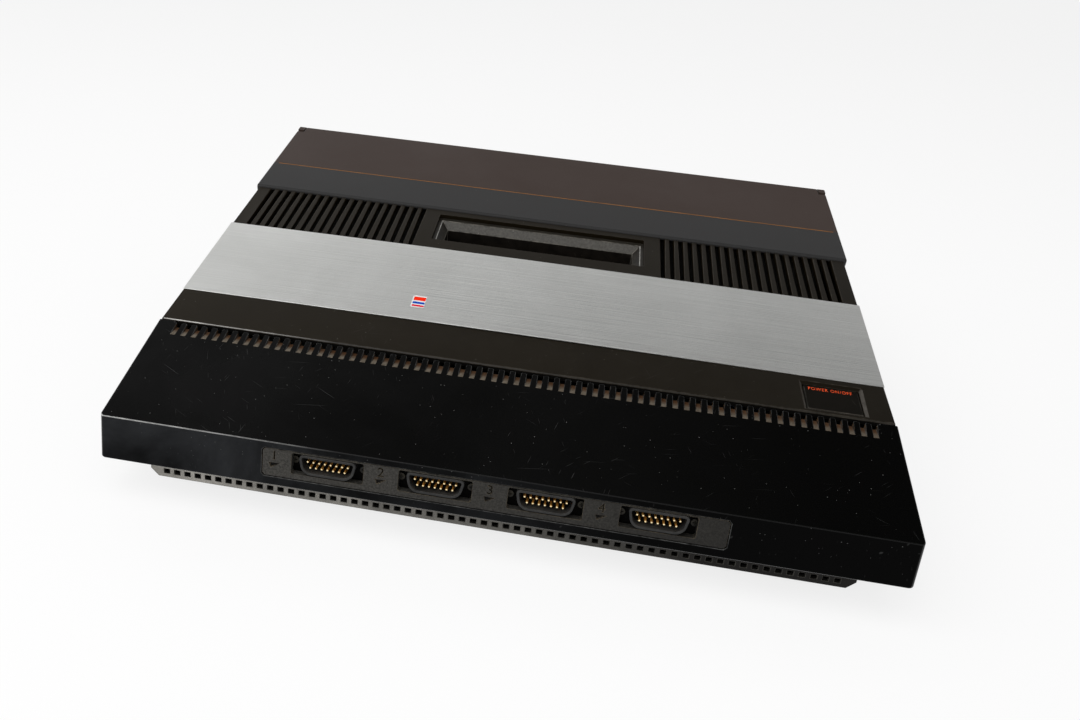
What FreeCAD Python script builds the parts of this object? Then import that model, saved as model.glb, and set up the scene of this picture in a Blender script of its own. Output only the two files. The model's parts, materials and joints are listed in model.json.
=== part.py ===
import FreeCAD, Part
import math
import os
import re
import Sketcher

# A wedge-shaped home video game console, built as the separate pieces it comes apart into.

# Driving sizes, in millimetres and degrees. Each one is a cell of the Sizes sheet.
SIZES = {
    # The wedge
    "body_width": 381.0,
    "body_depth": 326.0,
    "edge_height": 43.8,
    "face_height": 22.8,
    "face_lean": 2.2,
    "panel_run": 69.4,
    "panel_rise": 19.6,
    "lip_rise": 0.8,
    "deck_angle": 9.83,
    "shell_wall": 2.8,
    "side_step": 1.2,
    "fit_gap": 0.3,
    "corner_radius": 2.6,
    "edge_radius": 0.8,
    "belly_radius": 1.2,
    # The vent slots along the rear edge of the front panel
    "slot_margin": 9.5,
    "slot_pitch": 5.68,
    "slot_width": 2.7,
    "slot_length": 10.6,
    "slot_ramp": 7.6,
    "slot_ramp_depth": 1.8,
    "comb_gap": 1.0,
    # The controller ports
    "port_row_shift": -0.9,
    "port_spacing": 51.3,
    "port_drop": 9.4,
    "plate_margin": 14.0,
    "plate_height": 14.2,
    "plate_top": 3.5,
    "plate_sink": 0.4,
    "plate_lip": 1.5,
    "window_width": 34.7,
    "window_height": 10.8,
    "shroud_width": 28.2,
    "shroud_height": 10.0,
    "shroud_taper": 2.2,
    "shroud_wall": 1.3,
    "shroud_depth": 6.6,
    "shroud_corner": 2.4,
    "insulator_depth": 4.0,
    "pin_pitch": 2.77,
    "pin_row_gap": 2.84,
    "pin_radius": 0.5,
    "pin_setback": 1.0,
    "port_flange_width": 39.0,
    "port_flange_height": 12.6,
    "port_flange_gauge": 1.4,
    "port_screw_spacing": 33.2,
    "port_screw_radius": 1.0,
    "port_head_height": 0.8,
    "board_gauge": 1.6,
    "port_board_inset": 2.3,
    "port_board_height": 18.2,
    # The control strip and its button
    "strip_length": 29.4,
    "button_inset": 27.7,
    "button_along": 13.9,
    "button_width": 27.6,
    "button_length": 19.4,
    "button_height": 5.0,
    "button_sink": 1.3,
    "button_gap": 0.4,
    "button_bevel": 1.5,
    "button_travel": 2.0,
    "well_depth": 12.0,
    "well_wall": 2.0,
    "stem_radius": 4.0,
    "stem_length": 30.0,
    "stem_gap": 0.1,
    "tip_radius": 2.0,
    "tip_length": 8.5,
    "spring_radius": 6.0,
    "spring_wire": 0.8,
    # The brushed band
    "trim_length": 75.9,
    "trim_tilt": 0.76,
    "trim_gauge": 0.9,
    "trim_crown": 1.0,
    "trim_flange": 4.5,
    "trim_proud": 0.3,
    "badge_x": -58.3,
    "badge_along": 16.4,
    "badge_width": 8.4,
    "badge_length": 12.0,
    "badge_gauge": 0.3,
    # The grilles
    "grille_margin": 8.0,
    "grille_pitch": 5.7,
    "grille_clearance": 11.5,
    "grille_slot_width": 2.5,
    "grille_tuck": 1.3,
    "grille_under": 3.1,
    # The cartridge slot
    "mouth_width": 131.0,
    "mouth_margin": 13.5,
    "mouth_length": 32.3,
    "mouth_radius": 1.5,
    "throat_step": 6.5,
    "throat_inset": 2.34,
    "throat_depth": 22.6,
    "throat_overlap": 1.6,
    "well_flange": 4.0,
    "well_flange_gauge": 6.0,
    "funnel_depth": 3.7,
    # The lid and the bay under it
    "lid_margin": 5.8,
    "lid_gauge": 2.6,
    "lid_rise": 1.2,
    "lid_overhang": 1.9,
    "hinge_radius": 4.2,
    "roll_gap": 0.4,
    "hinge_pin_radius": 1.5,
    "hinge_pin_bury": 8.0,
    "hinge_bore_gap": 0.08,
    "cheek_skin": 0.7,
    "lid_skirt": 5.7,
    "lid_swing": 6.7,
    "nose_radius": 1.8,
    "seat_gap": 0.5,
    "bay_inset": 5.5,
    "bay_setback": 8.1,
    "bay_rim": 5.2,
    "bin_wall": 2.0,
    "rib_gauge": 1.6,
    "rib_drop": 3.0,
    # The tray
    "foot_height": 6.4,
    "foot_radius": 9.0,
    "foot_inset_x": 38.0,
    "foot_inset_y": 30.0,
    "tray_side_inset": 19.5,
    "tray_front_inset": 13.0,
    "tray_rear_inset": 13.0,
    "tray_chamfer": 4.0,
    "tray_wall": 2.4,
    "floor_gauge": 2.2,
    "flange_gauge": 3.0,
    "vent_margin": 6.0,
    "vent_pitch": 5.33,
    "vent_width": 2.9,
    "vent_height": 2.4,
    # The board and what stands on it
    "boss_height": 6.4,
    "boss_radius": 3.6,
    "screw_radius": 1.5,
    "head_radius": 3.0,
    "head_height": 1.8,
    "board_margin": 2.6,
    "board_setback": 12.0,
    "board_tail": 12.7,
    "post_radius": 4.2,
    "post_inset_x": 11.0,
    "front_post_setback": 23.0,
    "middle_post_setback": 33.4,
    "rear_post_inset": 69.3,
    "tin_gauge": 0.5,
    "shield_left": 47.0,
    "shield_right": 75.0,
    "shield_front": 12.0,
    "shield_back": 56.0,
    "shield_height": 12.0,
    "connector_step": 6.0,
    "connector_depth": 12.0,
    "connector_height": 18.0,
    "contact_pitch": 7.0,
    "chip_height": 4.0,
    "sink_height": 28.0,
    "sink_inset": 34.0,
    "sink_setback": 158.0,
    "modulator_width": 52.0,
    "modulator_depth": 36.0,
    "modulator_height": 11.0,
    "modulator_inset": 87.0,
    "switch_inset": 71.0,
    "switch_travel": 3.0,
    "outlet_inset": 99.0,
    "outlet_radius": 4.0,
}

# Places worked out from the driving sizes. Each one is a property of the Places set.
PLACES = {
    "face_y": "-body_depth / 2",
    "edge_y": "face_lean - body_depth / 2",
    "rear_y": "body_depth / 2",
    "rim_z": "edge_height - face_height",
    "panel_angle": "atan(panel_rise / panel_run) / 1 deg",
    "lean_angle": "atan(face_lean / face_height) / 1 deg",
    "panel_length": "panel_run / cos(panel_angle)",
    "strip_y": "edge_y + panel_run",
    "strip_z": "edge_height + panel_rise + lip_rise",
    "half_width": "body_width / 2 - side_step",
    "lid_half": "half_width + lid_overhang",
    "trim_half": "half_width + trim_proud",
    "slot_count": "floor((body_width - 2 * slot_margin - slot_width) / slot_pitch) + 1",
    "plate_width": "3 * port_spacing + window_width + 2 * plate_margin",
    "port_board_width": "plate_width - 2 * port_board_inset",
    "button_x": "half_width - button_inset",
    "trim_y": "strip_y + strip_length * cos(deck_angle)",
    "trim_z": "strip_z + strip_length * sin(deck_angle)",
    "grille_inner": "mouth_width / 2 + grille_clearance",
    "grille_count": "floor((half_width - grille_margin - grille_inner) / grille_pitch) + 1",
    "mouth_start": "strip_length + trim_length + mouth_margin",
    "lid_start": "mouth_start + mouth_length + lid_margin",
    "seat_start": "lid_start - seat_gap",
    "bay_start": "lid_start + bay_setback",
    "bay_width": "2 * (half_width - shell_wall - bay_inset)",
    "grille_start": "strip_length + trim_length - grille_tuck",
    "grille_length": "lid_start + grille_under - grille_start",
    "hinge_v": "lid_rise - hinge_radius",
    "hinge_y": "rear_y - hinge_radius",
    "hinge_u": "(hinge_y - strip_y + hinge_v * sin(deck_angle)) / cos(deck_angle)",
    "hinge_z": "strip_z + hinge_u * sin(deck_angle) + hinge_v * cos(deck_angle)",
    "rim_v": "lid_rise - lid_gauge - fit_gap",
    "trough_y": "hinge_y - hinge_radius - roll_gap",
    "trough_z": "hinge_z - hinge_radius - roll_gap",
    "cheek_u": "hinge_u - hinge_radius - roll_gap",
    "roll_half": "half_width - shell_wall - roll_gap",
    "bay_end_y": "trough_y - bay_rim",
    "flange_top": "rim_z + flange_gauge",
    "floor_top": "foot_height + floor_gauge",
    "board_z": "floor_top + boss_height",
    "board_top": "board_z + board_gauge",
    "tray_front": "face_y + tray_front_inset",
    "tray_rear": "rear_y - tray_rear_inset",
    "tray_width": "body_width - 2 * tray_side_inset",
    "vent_count": "floor((tray_width - 2 * vent_margin - vent_width) / vent_pitch) + 1",
    "post_x": "half_width - post_inset_x",
    "rear_post_x": "half_width - rear_post_inset",
    "front_post_y": "face_y + front_post_setback",
    "middle_post_y": "strip_y + middle_post_setback",
    "port_board_y": "plate_sink + shroud_depth + insulator_depth",
    "throat_front": "strip_y + mouth_start * cos(deck_angle) + throat_inset",
    "throat_middle": "throat_front + throat_depth / 2",
    "throat_width": "mouth_width - 2 * throat_step",
    "throat_bottom": "board_top + connector_height - throat_overlap",
    "connector_width": "throat_width - 2 * connector_step",
    "board_half": "tray_width / 2 - tray_wall - board_margin",
    "main_board_front": "tray_front + board_setback",
    "main_board_depth": "throat_middle + connector_depth / 2 + board_tail - main_board_front",
    "shield_width": "2 * board_half - shield_left - shield_right",
    "shield_depth": "main_board_depth - shield_front - shield_back",
    "shield_x": "(shield_left - shield_right) / 2",
    "shield_y": "main_board_front + shield_front + shield_depth / 2",
    "sink_x": "board_half - sink_inset",
    "sink_y": "main_board_front + sink_setback",
    "modulator_x": "tray_width / 2 - modulator_inset",
    "switch_x": "tray_width / 2 - switch_inset",
    "outlet_x": "tray_width / 2 - outlet_inset",
    "rear_post_y": "trough_y + 0.3 * post_radius",
}

doc = FreeCAD.newDocument("Console")
sheet = doc.addObject("Spreadsheet::Sheet", "Sizes")
for row, (alias, value) in enumerate(SIZES.items(), start=1):
    sheet.set("A%d" % row, alias)
    sheet.set("B%d" % row, str(value))
    sheet.setAlias("B%d" % row, alias)
doc.recompute()
places = doc.addObject("App::VarSet", "Places")

WORD = re.compile(r"[A-Za-z_][A-Za-z_0-9]*")
SUBPARTS = []


def bound(formula):
    """Turn a formula in plain words into one that names the sheet and the set."""
    def owner(match):
        word = match.group(0)
        if word in SIZES:
            return "Sizes." + word
        return "Places." + word if word in PLACES else word
    return WORD.sub(owner, str(formula))


def number(formula):
    """The present value of a formula, in millimetres or degrees."""
    value = places.evalExpression(bound(formula))
    return float(getattr(value, "Value", value))


for place_name, place_formula in PLACES.items():
    places.addProperty("App::PropertyFloat", place_name, "Places")
    places.setExpression(place_name, bound(place_formula))
    doc.recompute()


class Frame:
    """A plane that pieces are laid out on: an origin in the Y-Z plane and a turn about X."""

    def __init__(self, along, height, angle):
        self.along = along
        self.height = height
        self.angle = angle

    def y(self, u, v="0"):
        return f"({self.along}) + ({u}) * cos({self.angle}) - ({v}) * sin({self.angle})"

    def z(self, u, v="0"):
        return f"({self.height}) + ({u}) * sin({self.angle}) + ({v}) * cos({self.angle})"


WORLD = Frame("0", "0", "0")
PANEL = Frame("edge_y", "edge_height", "panel_angle")
FACE = Frame("edge_y", "edge_height", "-lean_angle")
DECK = Frame("strip_y", "strip_z", "deck_angle")
TRIM = Frame("trim_y", "trim_z", "(deck_angle + trim_tilt)")


def place(item, frame, x, u, v, turn="0"):
    """Bind an object's Placement to a point of a frame, with an added turn about X."""
    item.Placement = FreeCAD.Placement(FreeCAD.Vector(), FreeCAD.Rotation(FreeCAD.Vector(1, 0, 0), 10))
    item.setExpression("Placement.Base.x", bound(x))
    item.setExpression("Placement.Base.y", bound(frame.y(u, v)))
    item.setExpression("Placement.Base.z", bound(frame.z(u, v)))
    item.setExpression("Placement.Rotation.Angle", bound(f"{frame.angle} + {turn}"))


def subpart(item, label):
    """Give a finished object the name of its node."""
    item.Label = label
    SUBPARTS.append(item)
    return item


def box(frame, corner, size):
    """A box from its low corner in a frame."""
    item = doc.addObject("Part::Box", "Block")
    for side, formula in zip(("Length", "Width", "Height"), size):
        item.setExpression(side, bound(formula))
    place(item, frame, *corner)
    return item


def block(frame, middle, size):
    """A box centred in X and Y on a point, standing on it in Z."""
    x, y, z = middle
    wide, deep, _ = size
    return box(frame, (f"{x} - ({wide}) / 2", f"{y} - ({deep}) / 2", z), size)


def rod(frame, start, radius, length, turn="0"):
    """A cylinder that stands on a point of a frame, or lies along Y with a turn of -90."""
    item = doc.addObject("Part::Cylinder", "Rod")
    item.setExpression("Radius", bound(radius))
    item.setExpression("Height", bound(length))
    place(item, frame, *start, turn=turn)
    return item


def peg(frame, start, radius, length, sides=6, turn="0"):
    """A rod with flat sides, placed as a rod is."""
    item = doc.addObject("Part::Prism", "Peg")
    item.Polygon = sides
    item.setExpression("Circumradius", bound(radius))
    item.setExpression("Height", bound(length))
    place(item, frame, *start, turn=turn)
    return item


def ring(start, radius, sides, rotation=FreeCAD.Rotation()):
    """A closed wire with straight sides, as a section for a loft."""
    item = doc.addObject("Part::RegularPolygon", "Ring")
    item.Polygon = sides
    item.setExpression("Circumradius", bound(radius))
    item.Placement = FreeCAD.Placement(FreeCAD.Vector(), rotation)
    for letter, formula in zip("xyz", start):
        item.setExpression("Placement.Base." + letter, bound(formula))
    return item


def loft(rings):
    """A solid with straight walls from each ring to the next."""
    item = doc.addObject("Part::Loft", "Loft")
    item.Sections = rings
    item.Solid = True
    item.Ruled = True
    return item


def axle(start, radius, length):
    """A cylinder along X from a point in the world."""
    item = doc.addObject("Part::Cylinder", "Axle")
    item.setExpression("Radius", bound(radius))
    item.setExpression("Height", bound(length))
    item.Placement = FreeCAD.Placement(FreeCAD.Vector(), FreeCAD.Rotation(FreeCAD.Vector(0, 1, 0), 90))
    for letter, formula in zip("xyz", start):
        item.setExpression("Placement.Base." + letter, bound(formula))
    return item


def cut(base, tool):
    item = doc.addObject("Part::Cut", "Cut")
    item.Base = base
    item.Tool = tool
    return item


def fuse(pieces):
    item = doc.addObject("Part::MultiFuse", "Fuse")
    item.Shapes = pieces
    return item


def group(pieces):
    """Separate solids that share one node."""
    item = doc.addObject("Part::Compound", "Group")
    item.Links = pieces
    return item


def new_body(label, frame=WORLD, x="0", u="0", v="0"):
    body = doc.addObject("PartDesign::Body", "Body")
    place(body, frame, x, u, v)
    return subpart(body, label)


def origin_feature(body, role):
    return next(item for item in body.Origin.OriginFeatures if item.Role == role)


def sketch(body, view, loops, frame=WORLD, x="0", u="0", v="0"):
    """A sketch of closed loops, seen in plan, from the side or from the front of a frame.

    Seen from the side, the sketch's axes are Y and Z. From the front they are X and Z, and its
    normal points at the viewer. Each loop is a list of points, and a third entry in a point is
    the radius of the arc that runs on from it, positive where the arc bulges outwards.
    """
    item = body.newObject("Sketcher::SketchObject", "Sketch")
    role = "YZ_Plane" if view == "side" else "XY_Plane"
    item.AttachmentSupport = [(origin_feature(body, role), "")]
    item.MapMode = "FlatFace"
    axis = FreeCAD.Vector(0, 0, 1) if view == "side" else FreeCAD.Vector(1, 0, 0)
    item.AttachmentOffset = FreeCAD.Placement(FreeCAD.Vector(), FreeCAD.Rotation(axis, 10))
    base = (frame.y(u, v), frame.z(u, v), x) if view == "side" else (x, frame.y(u, v), frame.z(u, v))
    for letter, formula in zip("xyz", base):
        item.setExpression("AttachmentOffset.Base." + letter, bound(formula))
    lift = "90" if view == "front" else "0"
    item.setExpression("AttachmentOffset.Rotation.Angle", bound(f"{frame.angle} + {lift}"))
    for loop in loops:
        draw_loop(item, loop)
    return item


def draw_loop(item, loop):
    """Draw one closed loop and tie every corner and radius of it to its formula."""
    corners = [FreeCAD.Vector(number(point[0]), number(point[1]), 0) for point in loop]
    first = item.GeometryCount
    for index, point in enumerate(loop):
        start, end = corners[index], corners[(index + 1) % len(loop)]
        if len(point) == 2:
            item.addGeometry(Part.LineSegment(start, end))
            continue
        radius = number(point[2])
        chord = end - start
        sag = abs(radius) - math.sqrt(max(radius ** 2 - (chord.Length / 2) ** 2, 0.0))
        outward = FreeCAD.Vector(chord.y, -chord.x, 0).normalize() * math.copysign(sag, radius)
        item.addGeometry(Part.Arc(start, (start + end) / 2 + outward, end))
    for index, point in enumerate(loop):
        here = first + index
        following = first + (index + 1) % len(loop)
        turned = len(point) == 3 and number(point[2]) < 0
        start_side = 2 if turned else 1
        end_side = 1 if turned else 2
        next_point = loop[(index + 1) % len(loop)]
        next_turned = len(next_point) == 3 and number(next_point[2]) < 0
        item.addConstraint(
            Sketcher.Constraint("Coincident", here, end_side, following, 2 if next_turned else 1))
        for kind, formula in (("DistanceX", point[0]), ("DistanceY", point[1])):
            tie = item.addConstraint(
                Sketcher.Constraint(kind, -1, 1, here, start_side, number(formula)))
            item.setExpression("Constraints[%d]" % tie, bound(formula))
        if len(point) == 3:
            size = str(point[2]).lstrip("-")
            tie = item.addConstraint(Sketcher.Constraint("Radius", here, number(size)))
            item.setExpression("Constraints[%d]" % tie, bound(size))


def rectangle(left, low, right, high):
    return [(left, low), (right, low), (right, high), (left, high)]


def rounded(left, low, right, high, radius):
    """A rectangle with round corners."""
    left, low, right, high, radius = (f"({part})" for part in (left, low, right, high, radius))
    return [
        (f"{left} + {radius}", low), (f"{right} - {radius}", low, radius),
        (right, f"{low} + {radius}"), (right, f"{high} - {radius}", radius),
        (f"{right} - {radius}", high), (f"{left} + {radius}", high, radius),
        (left, f"{high} - {radius}"), (left, f"{low} + {radius}", radius)]


def cornered(left, low, right, high, size):
    """A rectangle with its corners cut off."""
    left, low, right, high, size = (f"({part})" for part in (left, low, right, high, size))
    return [
        (f"{left} + {size}", low), (f"{right} - {size}", low), (right, f"{low} + {size}"),
        (right, f"{high} - {size}"), (f"{right} - {size}", high), (f"{left} + {size}", high),
        (left, f"{high} - {size}"), (left, f"{low} + {size}")]


def many_sided(x, y, radius, sides=6):
    """A loop with equal straight sides, as a peg has."""
    turns = [360 / sides * step for step in range(sides)]
    return [(f"({x}) + ({radius}) * cos({turn})", f"({y}) + ({radius}) * sin({turn})")
            for turn in turns]


def disc(x, y, radius):
    """A circle as four quarter arcs."""
    x, y, radius = (f"({part})" for part in (x, y, radius))
    return [
        (f"{x} + {radius}", y, radius), (x, f"{y} + {radius}", radius),
        (f"{x} - {radius}", y, radius), (x, f"{y} - {radius}", radius)]


def volume_of(body):
    doc.recompute()
    return body.Shape.Volume if not body.Shape.isNull() else 0.0


def feature(body, kind, profile, length, symmetric=False, reversed_way=False):
    """Add a pad or pocket and make sure that it adds or takes away material."""
    before = volume_of(body) if body.Tip is not None else 0.0
    item = body.newObject("PartDesign::" + kind, kind)
    item.Profile = profile
    item.SideType = "Symmetric" if symmetric else "One side"
    item.Reversed = reversed_way
    item.setExpression("Length", bound(length))
    after = volume_of(body)
    grown = after - before
    if (kind == "Pad" and grown < 0.01) or (kind == "Pocket" and grown > -0.01):
        raise RuntimeError("%s on %s changed nothing" % (kind, body.Label))
    return item


def pad(body, profile, length, **ways):
    return feature(body, "Pad", profile, length, **ways)


def pocket(body, profile, length, **ways):
    return feature(body, "Pocket", profile, length, **ways)


def repeat(body, pattern_of, count, pitch):
    """Repeat a feature along X, from its first place towards larger X."""
    item = body.newObject("PartDesign::LinearPattern", "Row")
    item.Originals = [pattern_of]
    item.Direction = (origin_feature(body, "X_Axis"), [""])
    item.setExpression("Length", bound(f"({count} - 1) * {pitch}"))
    item.setExpression("Occurrences", bound(count))
    body.Tip = item
    doc.recompute()
    return item


def edge_names(shape, wanted):
    """Names of the edges whose middle point and direction pass a test."""
    names = []
    for index, edge in enumerate(shape.Edges, start=1):
        middle = edge.valueAt((edge.FirstParameter + edge.LastParameter) / 2)
        run = edge.Vertexes[-1].Point - edge.Vertexes[0].Point
        if run.Length > 1e-6 and wanted(middle, run.normalize()):
            names.append("Edge%d" % index)
    return names


def round_edges(body, radius, wanted, kind="Fillet"):
    """Fillet or chamfer the edges that a test picks from the body as it stands."""
    doc.recompute()
    tip = body.Tip
    names = edge_names(tip.Shape, wanted)
    if not names:
        raise RuntimeError("no edge to finish on " + body.Label)
    item = body.newObject("PartDesign::" + kind, kind)
    item.Base = (tip, names)
    item.setExpression("Radius" if kind == "Fillet" else "Size", bound(radius))
    doc.recompute()
    return item


def near(value, formula, reach=0.05):
    return abs(value - number(formula)) < reach


def front_shell():
    """The glossy front: sloping panel, leaning face and two side returns, open behind and below."""
    body = new_body("front_shell")
    panel_back_z = "edge_height + panel_rise"
    outline = [("face_y", "rim_z"), ("strip_y", "rim_z"), ("strip_y", panel_back_z),
               ("edge_y", "edge_height")]
    pad(body, sketch(body, "side", [outline]), "body_width", symmetric=True)
    face_middle = "(face_y + edge_y) / 2"
    round_edges(body, "corner_radius", lambda middle, run: near(middle.y, face_middle)
                and near(abs(middle.x), "body_width / 2"))
    round_edges(body, "edge_radius", lambda middle, run: middle.z > number("edge_height - 0.1")
                and middle.y < number("strip_y - 0.1") and not near(middle.y, face_middle))
    round_edges(body, "belly_radius", lambda middle, run: near(middle.z, "rim_z")
                and middle.y < number("face_y + corner_radius + 0.1"))
    slope = "tan(panel_angle)"
    thick = "shell_wall / cos(panel_angle)"
    lean = "tan(lean_angle)"
    front_roof = f"edge_height + shell_wall * {slope} - {thick}"
    inner = [(f"face_y + shell_wall - {lean}", "rim_z - 1"), ("strip_y + 1", "rim_z - 1"),
             ("strip_y + 1", f"edge_height + (panel_run + 1) * {slope} - {thick}"),
             (f"face_y + shell_wall + ({front_roof} - rim_z) * {lean}", front_roof)]
    pocket(body, sketch(body, "side", [inner]), "body_width - 2 * shell_wall", symmetric=True)
    front_posts(body)
    cutout = cornered("port_row_shift - plate_width / 2 - fit_gap",
                      "-plate_top - plate_height - fit_gap",
                      "port_row_shift + plate_width / 2 + fit_gap", "-plate_top + fit_gap", "1.2")
    pocket(body, sketch(body, "front", [cutout], FACE, u="-2"), "shell_wall + 4")
    comb_half = "(slot_count - 1) * slot_pitch / 2 + slot_width"
    comb = rectangle(f"-({comb_half})", "panel_length - comb_gap", comb_half, "panel_length + 1")
    pocket(body, sketch(body, "plan", [comb], PANEL, v="1"), "shell_wall + 2")
    slot_front = "panel_length - slot_length"
    slot = [(slot_front, "0"), (f"{slot_front} + slot_ramp", "-slot_ramp_depth"),
            (f"{slot_front} + slot_ramp", "-shell_wall - 1"), ("panel_length + 1", "-shell_wall - 1"),
            ("panel_length + 1", "1"), (slot_front, "1")]
    first = pocket(body, sketch(body, "side", [slot], PANEL, x="-(slot_count - 1) * slot_pitch / 2"),
                   "slot_width", symmetric=True)
    repeat(body, first, "slot_count", "slot_pitch")
    return body


def front_posts(body):
    """Two screw posts that hang from the sloping panel to the tray's flange."""
    roof = "edge_height + (front_post_y - edge_y) * tan(panel_angle) - shell_wall / 2"
    for side in ("-post_x", "post_x"):
        pad(body, sketch(body, "plan", [many_sided(side, "front_post_y", "post_radius", 8)],
                         v="flange_top"), f"{roof} - flange_top")
        pocket(body, sketch(body, "plan", [many_sided(side, "front_post_y", "screw_radius")],
                            v="flange_top - 1"), "11", reversed_way=True)


def port_plate():
    """The matte plate in the front face, with four windows and a flange behind the wall."""
    body = new_body("port_plate", FACE, x="port_row_shift")
    low = "-plate_top - plate_height"
    face = cornered("-plate_width / 2", low, "plate_width / 2", "-plate_top", "1.2")
    lip = rectangle("-plate_width / 2 - plate_lip", f"{low} - plate_lip",
                    "plate_width / 2 + plate_lip", "-plate_top + plate_lip - 0.6")
    pad(body, sketch(body, "front", [face], u="shell_wall + fit_gap"), "shell_wall + fit_gap - plate_sink")
    pad(body, sketch(body, "front", [lip], u="shell_wall + 1.5"), "1.5 - fit_gap / 3")
    windows = [cornered(f"({place}) * port_spacing - window_width / 2",
                        "-port_drop - window_height / 2 - 0.2",
                        f"({place}) * port_spacing + window_width / 2",
                        "-port_drop + window_height / 2 - 0.2", "0.6")
               for place in (-1.5, -0.5, 0.5, 1.5)]
    pocket(body, sketch(body, "front", windows), "shell_wall + 3")
    return body


def d_shape(width, height, taper, corner):
    """The tapered outline of a D port with its corners cut, wide side up, centred on its pins."""
    side, level = f"({width}) / 2", f"({height}) / 2"
    drift = f"({corner}) * {taper} / ({height})"
    right = [(f"{side} - {taper} - ({corner})", f"-{level}"),
             (f"{side} - {taper} + {drift}", f"-{level} + ({corner})"),
             (f"{side} - {drift}", f"{level} - ({corner})"), (f"{side} - ({corner})", level)]
    return right + [(f"-({x})", y) for x, y in reversed(right)]


def port_centre(index):
    return f"port_row_shift + ({index} - 2.5) * port_spacing"


def row_of_pins(index):
    """The gilt pins of one port, eight over seven, each a square wire."""
    pins = []
    for count, level in ((8, "1"), (7, "-1")):
        for step in range(count):
            x = f"{port_centre(index)} + ({step} - ({count} - 1) / 2) * pin_pitch"
            start = (x, "pin_setback", f"-port_drop + ({level}) * pin_row_gap / 2")
            pins.append(peg(FACE, start, "pin_radius", "port_board_y - pin_setback", 4, "-90"))
    return pins


def controller_port(index, pins):
    """One D-shaped port: a hollow shroud, its flange with two standoffs, and the insulator."""
    body = doc.addObject("PartDesign::Body", "Body")
    place(body, FACE, port_centre(index), "0", "-port_drop")
    body.Label = "port_blank_%d" % index
    shell = d_shape("shroud_width", "shroud_height", "shroud_taper", "shroud_corner")
    pad(body, sketch(body, "front", [shell], u="shroud_depth"), "shroud_depth + plate_sink - fit_gap")
    flange = rectangle("-port_flange_width / 2", "-port_flange_height / 2", "port_flange_width / 2",
                       "port_flange_height / 2")
    pad(body, sketch(body, "front", [flange], u="shroud_depth"), "port_flange_gauge")
    back = rectangle("-shroud_width / 2 - 1", "-shroud_height / 2", "shroud_width / 2 + 1",
                     "shroud_height / 2")
    pad(body, sketch(body, "front", [back], u="port_board_y"), "insulator_depth + plate_sink")
    hollow = d_shape("shroud_width - 2 * shroud_wall", "shroud_height - 2 * shroud_wall",
                     "shroud_taper", "shroud_corner - 0.59 * shroud_wall")
    pocket(body, sketch(body, "front", [hollow], u="-1"), "shroud_depth + 0.6")
    holes = [many_sided(f"{side} * port_screw_spacing / 2", "0", "port_screw_radius + 0.1")
             for side in (-1, 1)]
    pocket(body, sketch(body, "front", holes, u="-1"), "shroud_depth + 3")
    subpart(cut(body, group(pins)), "controller_port_%d" % index)


def port_board():
    """The small board behind the ports, which stands on the tray's flange."""
    board = box(FACE, ("port_row_shift - port_board_width / 2", "port_board_y",
                       "-port_board_height - 0.4"),
                ("port_board_width", "board_gauge", "port_board_height"))
    holes = [peg(FACE, (f"{port_centre(index)} + ({side}) * port_screw_spacing / 2",
                        "port_board_y - 1", "-port_drop"), "port_screw_radius", "board_gauge + 2",
                 turn="-90")
             for index in (1, 2, 3, 4) for side in (-1, 1)]
    return subpart(cut(board, group(holes)), "port_board")


def port_screws():
    """Two screws through each port's flange into the port board."""
    screws = []
    for index in (1, 2, 3, 4):
        for side in (-1, 1):
            x = f"{port_centre(index)} + ({side}) * port_screw_spacing / 2"
            head_u = "shroud_depth - port_flange_gauge - port_head_height"
            head = peg(FACE, (x, head_u, "-port_drop"), "2", "port_head_height", turn="-90")
            shank = peg(FACE, (x, head_u, "-port_drop"), "port_screw_radius",
                        f"port_board_y + board_gauge + 0.8 - ({head_u})", turn="-90")
            screws.append(fuse([head, shank]))
    return subpart(group(screws), "port_screws")


def upper_housing():
    """The satin top moulding: strip, seats for the band, the lid and the slot, and both grilles."""
    body = new_body("upper_housing")
    roof = "tan(deck_angle)"
    rim_back = f"strip_z + (trough_y - strip_y) * {roof} + rim_v / cos(deck_angle)"
    outline = [("strip_y", "rim_z"), ("rear_y", "rim_z"), ("rear_y", "trough_z"),
               ("trough_y", "trough_z"), ("trough_y", rim_back),
               (DECK.y("seat_start", "rim_v"), DECK.z("seat_start", "rim_v")),
               (DECK.y("seat_start"), DECK.z("seat_start")), ("strip_y", "strip_z")]
    pad(body, sketch(body, "side", [outline]), "2 * half_width", symmetric=True)
    round_edges(body, "edge_radius", lambda middle, run: near(abs(middle.x), "half_width")
                and near(middle.y, "(" + DECK.y("seat_start") + " + strip_y) / 2", 1)
                and middle.z > number("strip_z"))
    hinge_cheeks(body)
    inner_roof = "rim_v - shell_wall"
    inner_back = f"strip_z + (trough_y - shell_wall - strip_y) * {roof} + ({inner_roof}) / cos(deck_angle)"
    front_roof = f"strip_z - {roof} - shell_wall / cos(deck_angle)"
    step_u = "seat_start - shell_wall"
    inner = [("strip_y - 1", "rim_z - 1"), ("rear_y - shell_wall", "rim_z - 1"),
             ("rear_y - shell_wall", "trough_z - shell_wall"),
             ("trough_y - shell_wall", "trough_z - shell_wall"),
             ("trough_y - shell_wall", inner_back),
             (DECK.y(step_u, inner_roof), DECK.z(step_u, inner_roof)),
             (DECK.y(step_u, "-shell_wall"), DECK.z(step_u, "-shell_wall")),
             ("strip_y - 1", front_roof)]
    pocket(body, sketch(body, "side", [inner]), "2 * (half_width - shell_wall)", symmetric=True)
    button_well(body)
    deck_openings(body)
    housing_posts(body)
    grilles(body)
    return body


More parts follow.
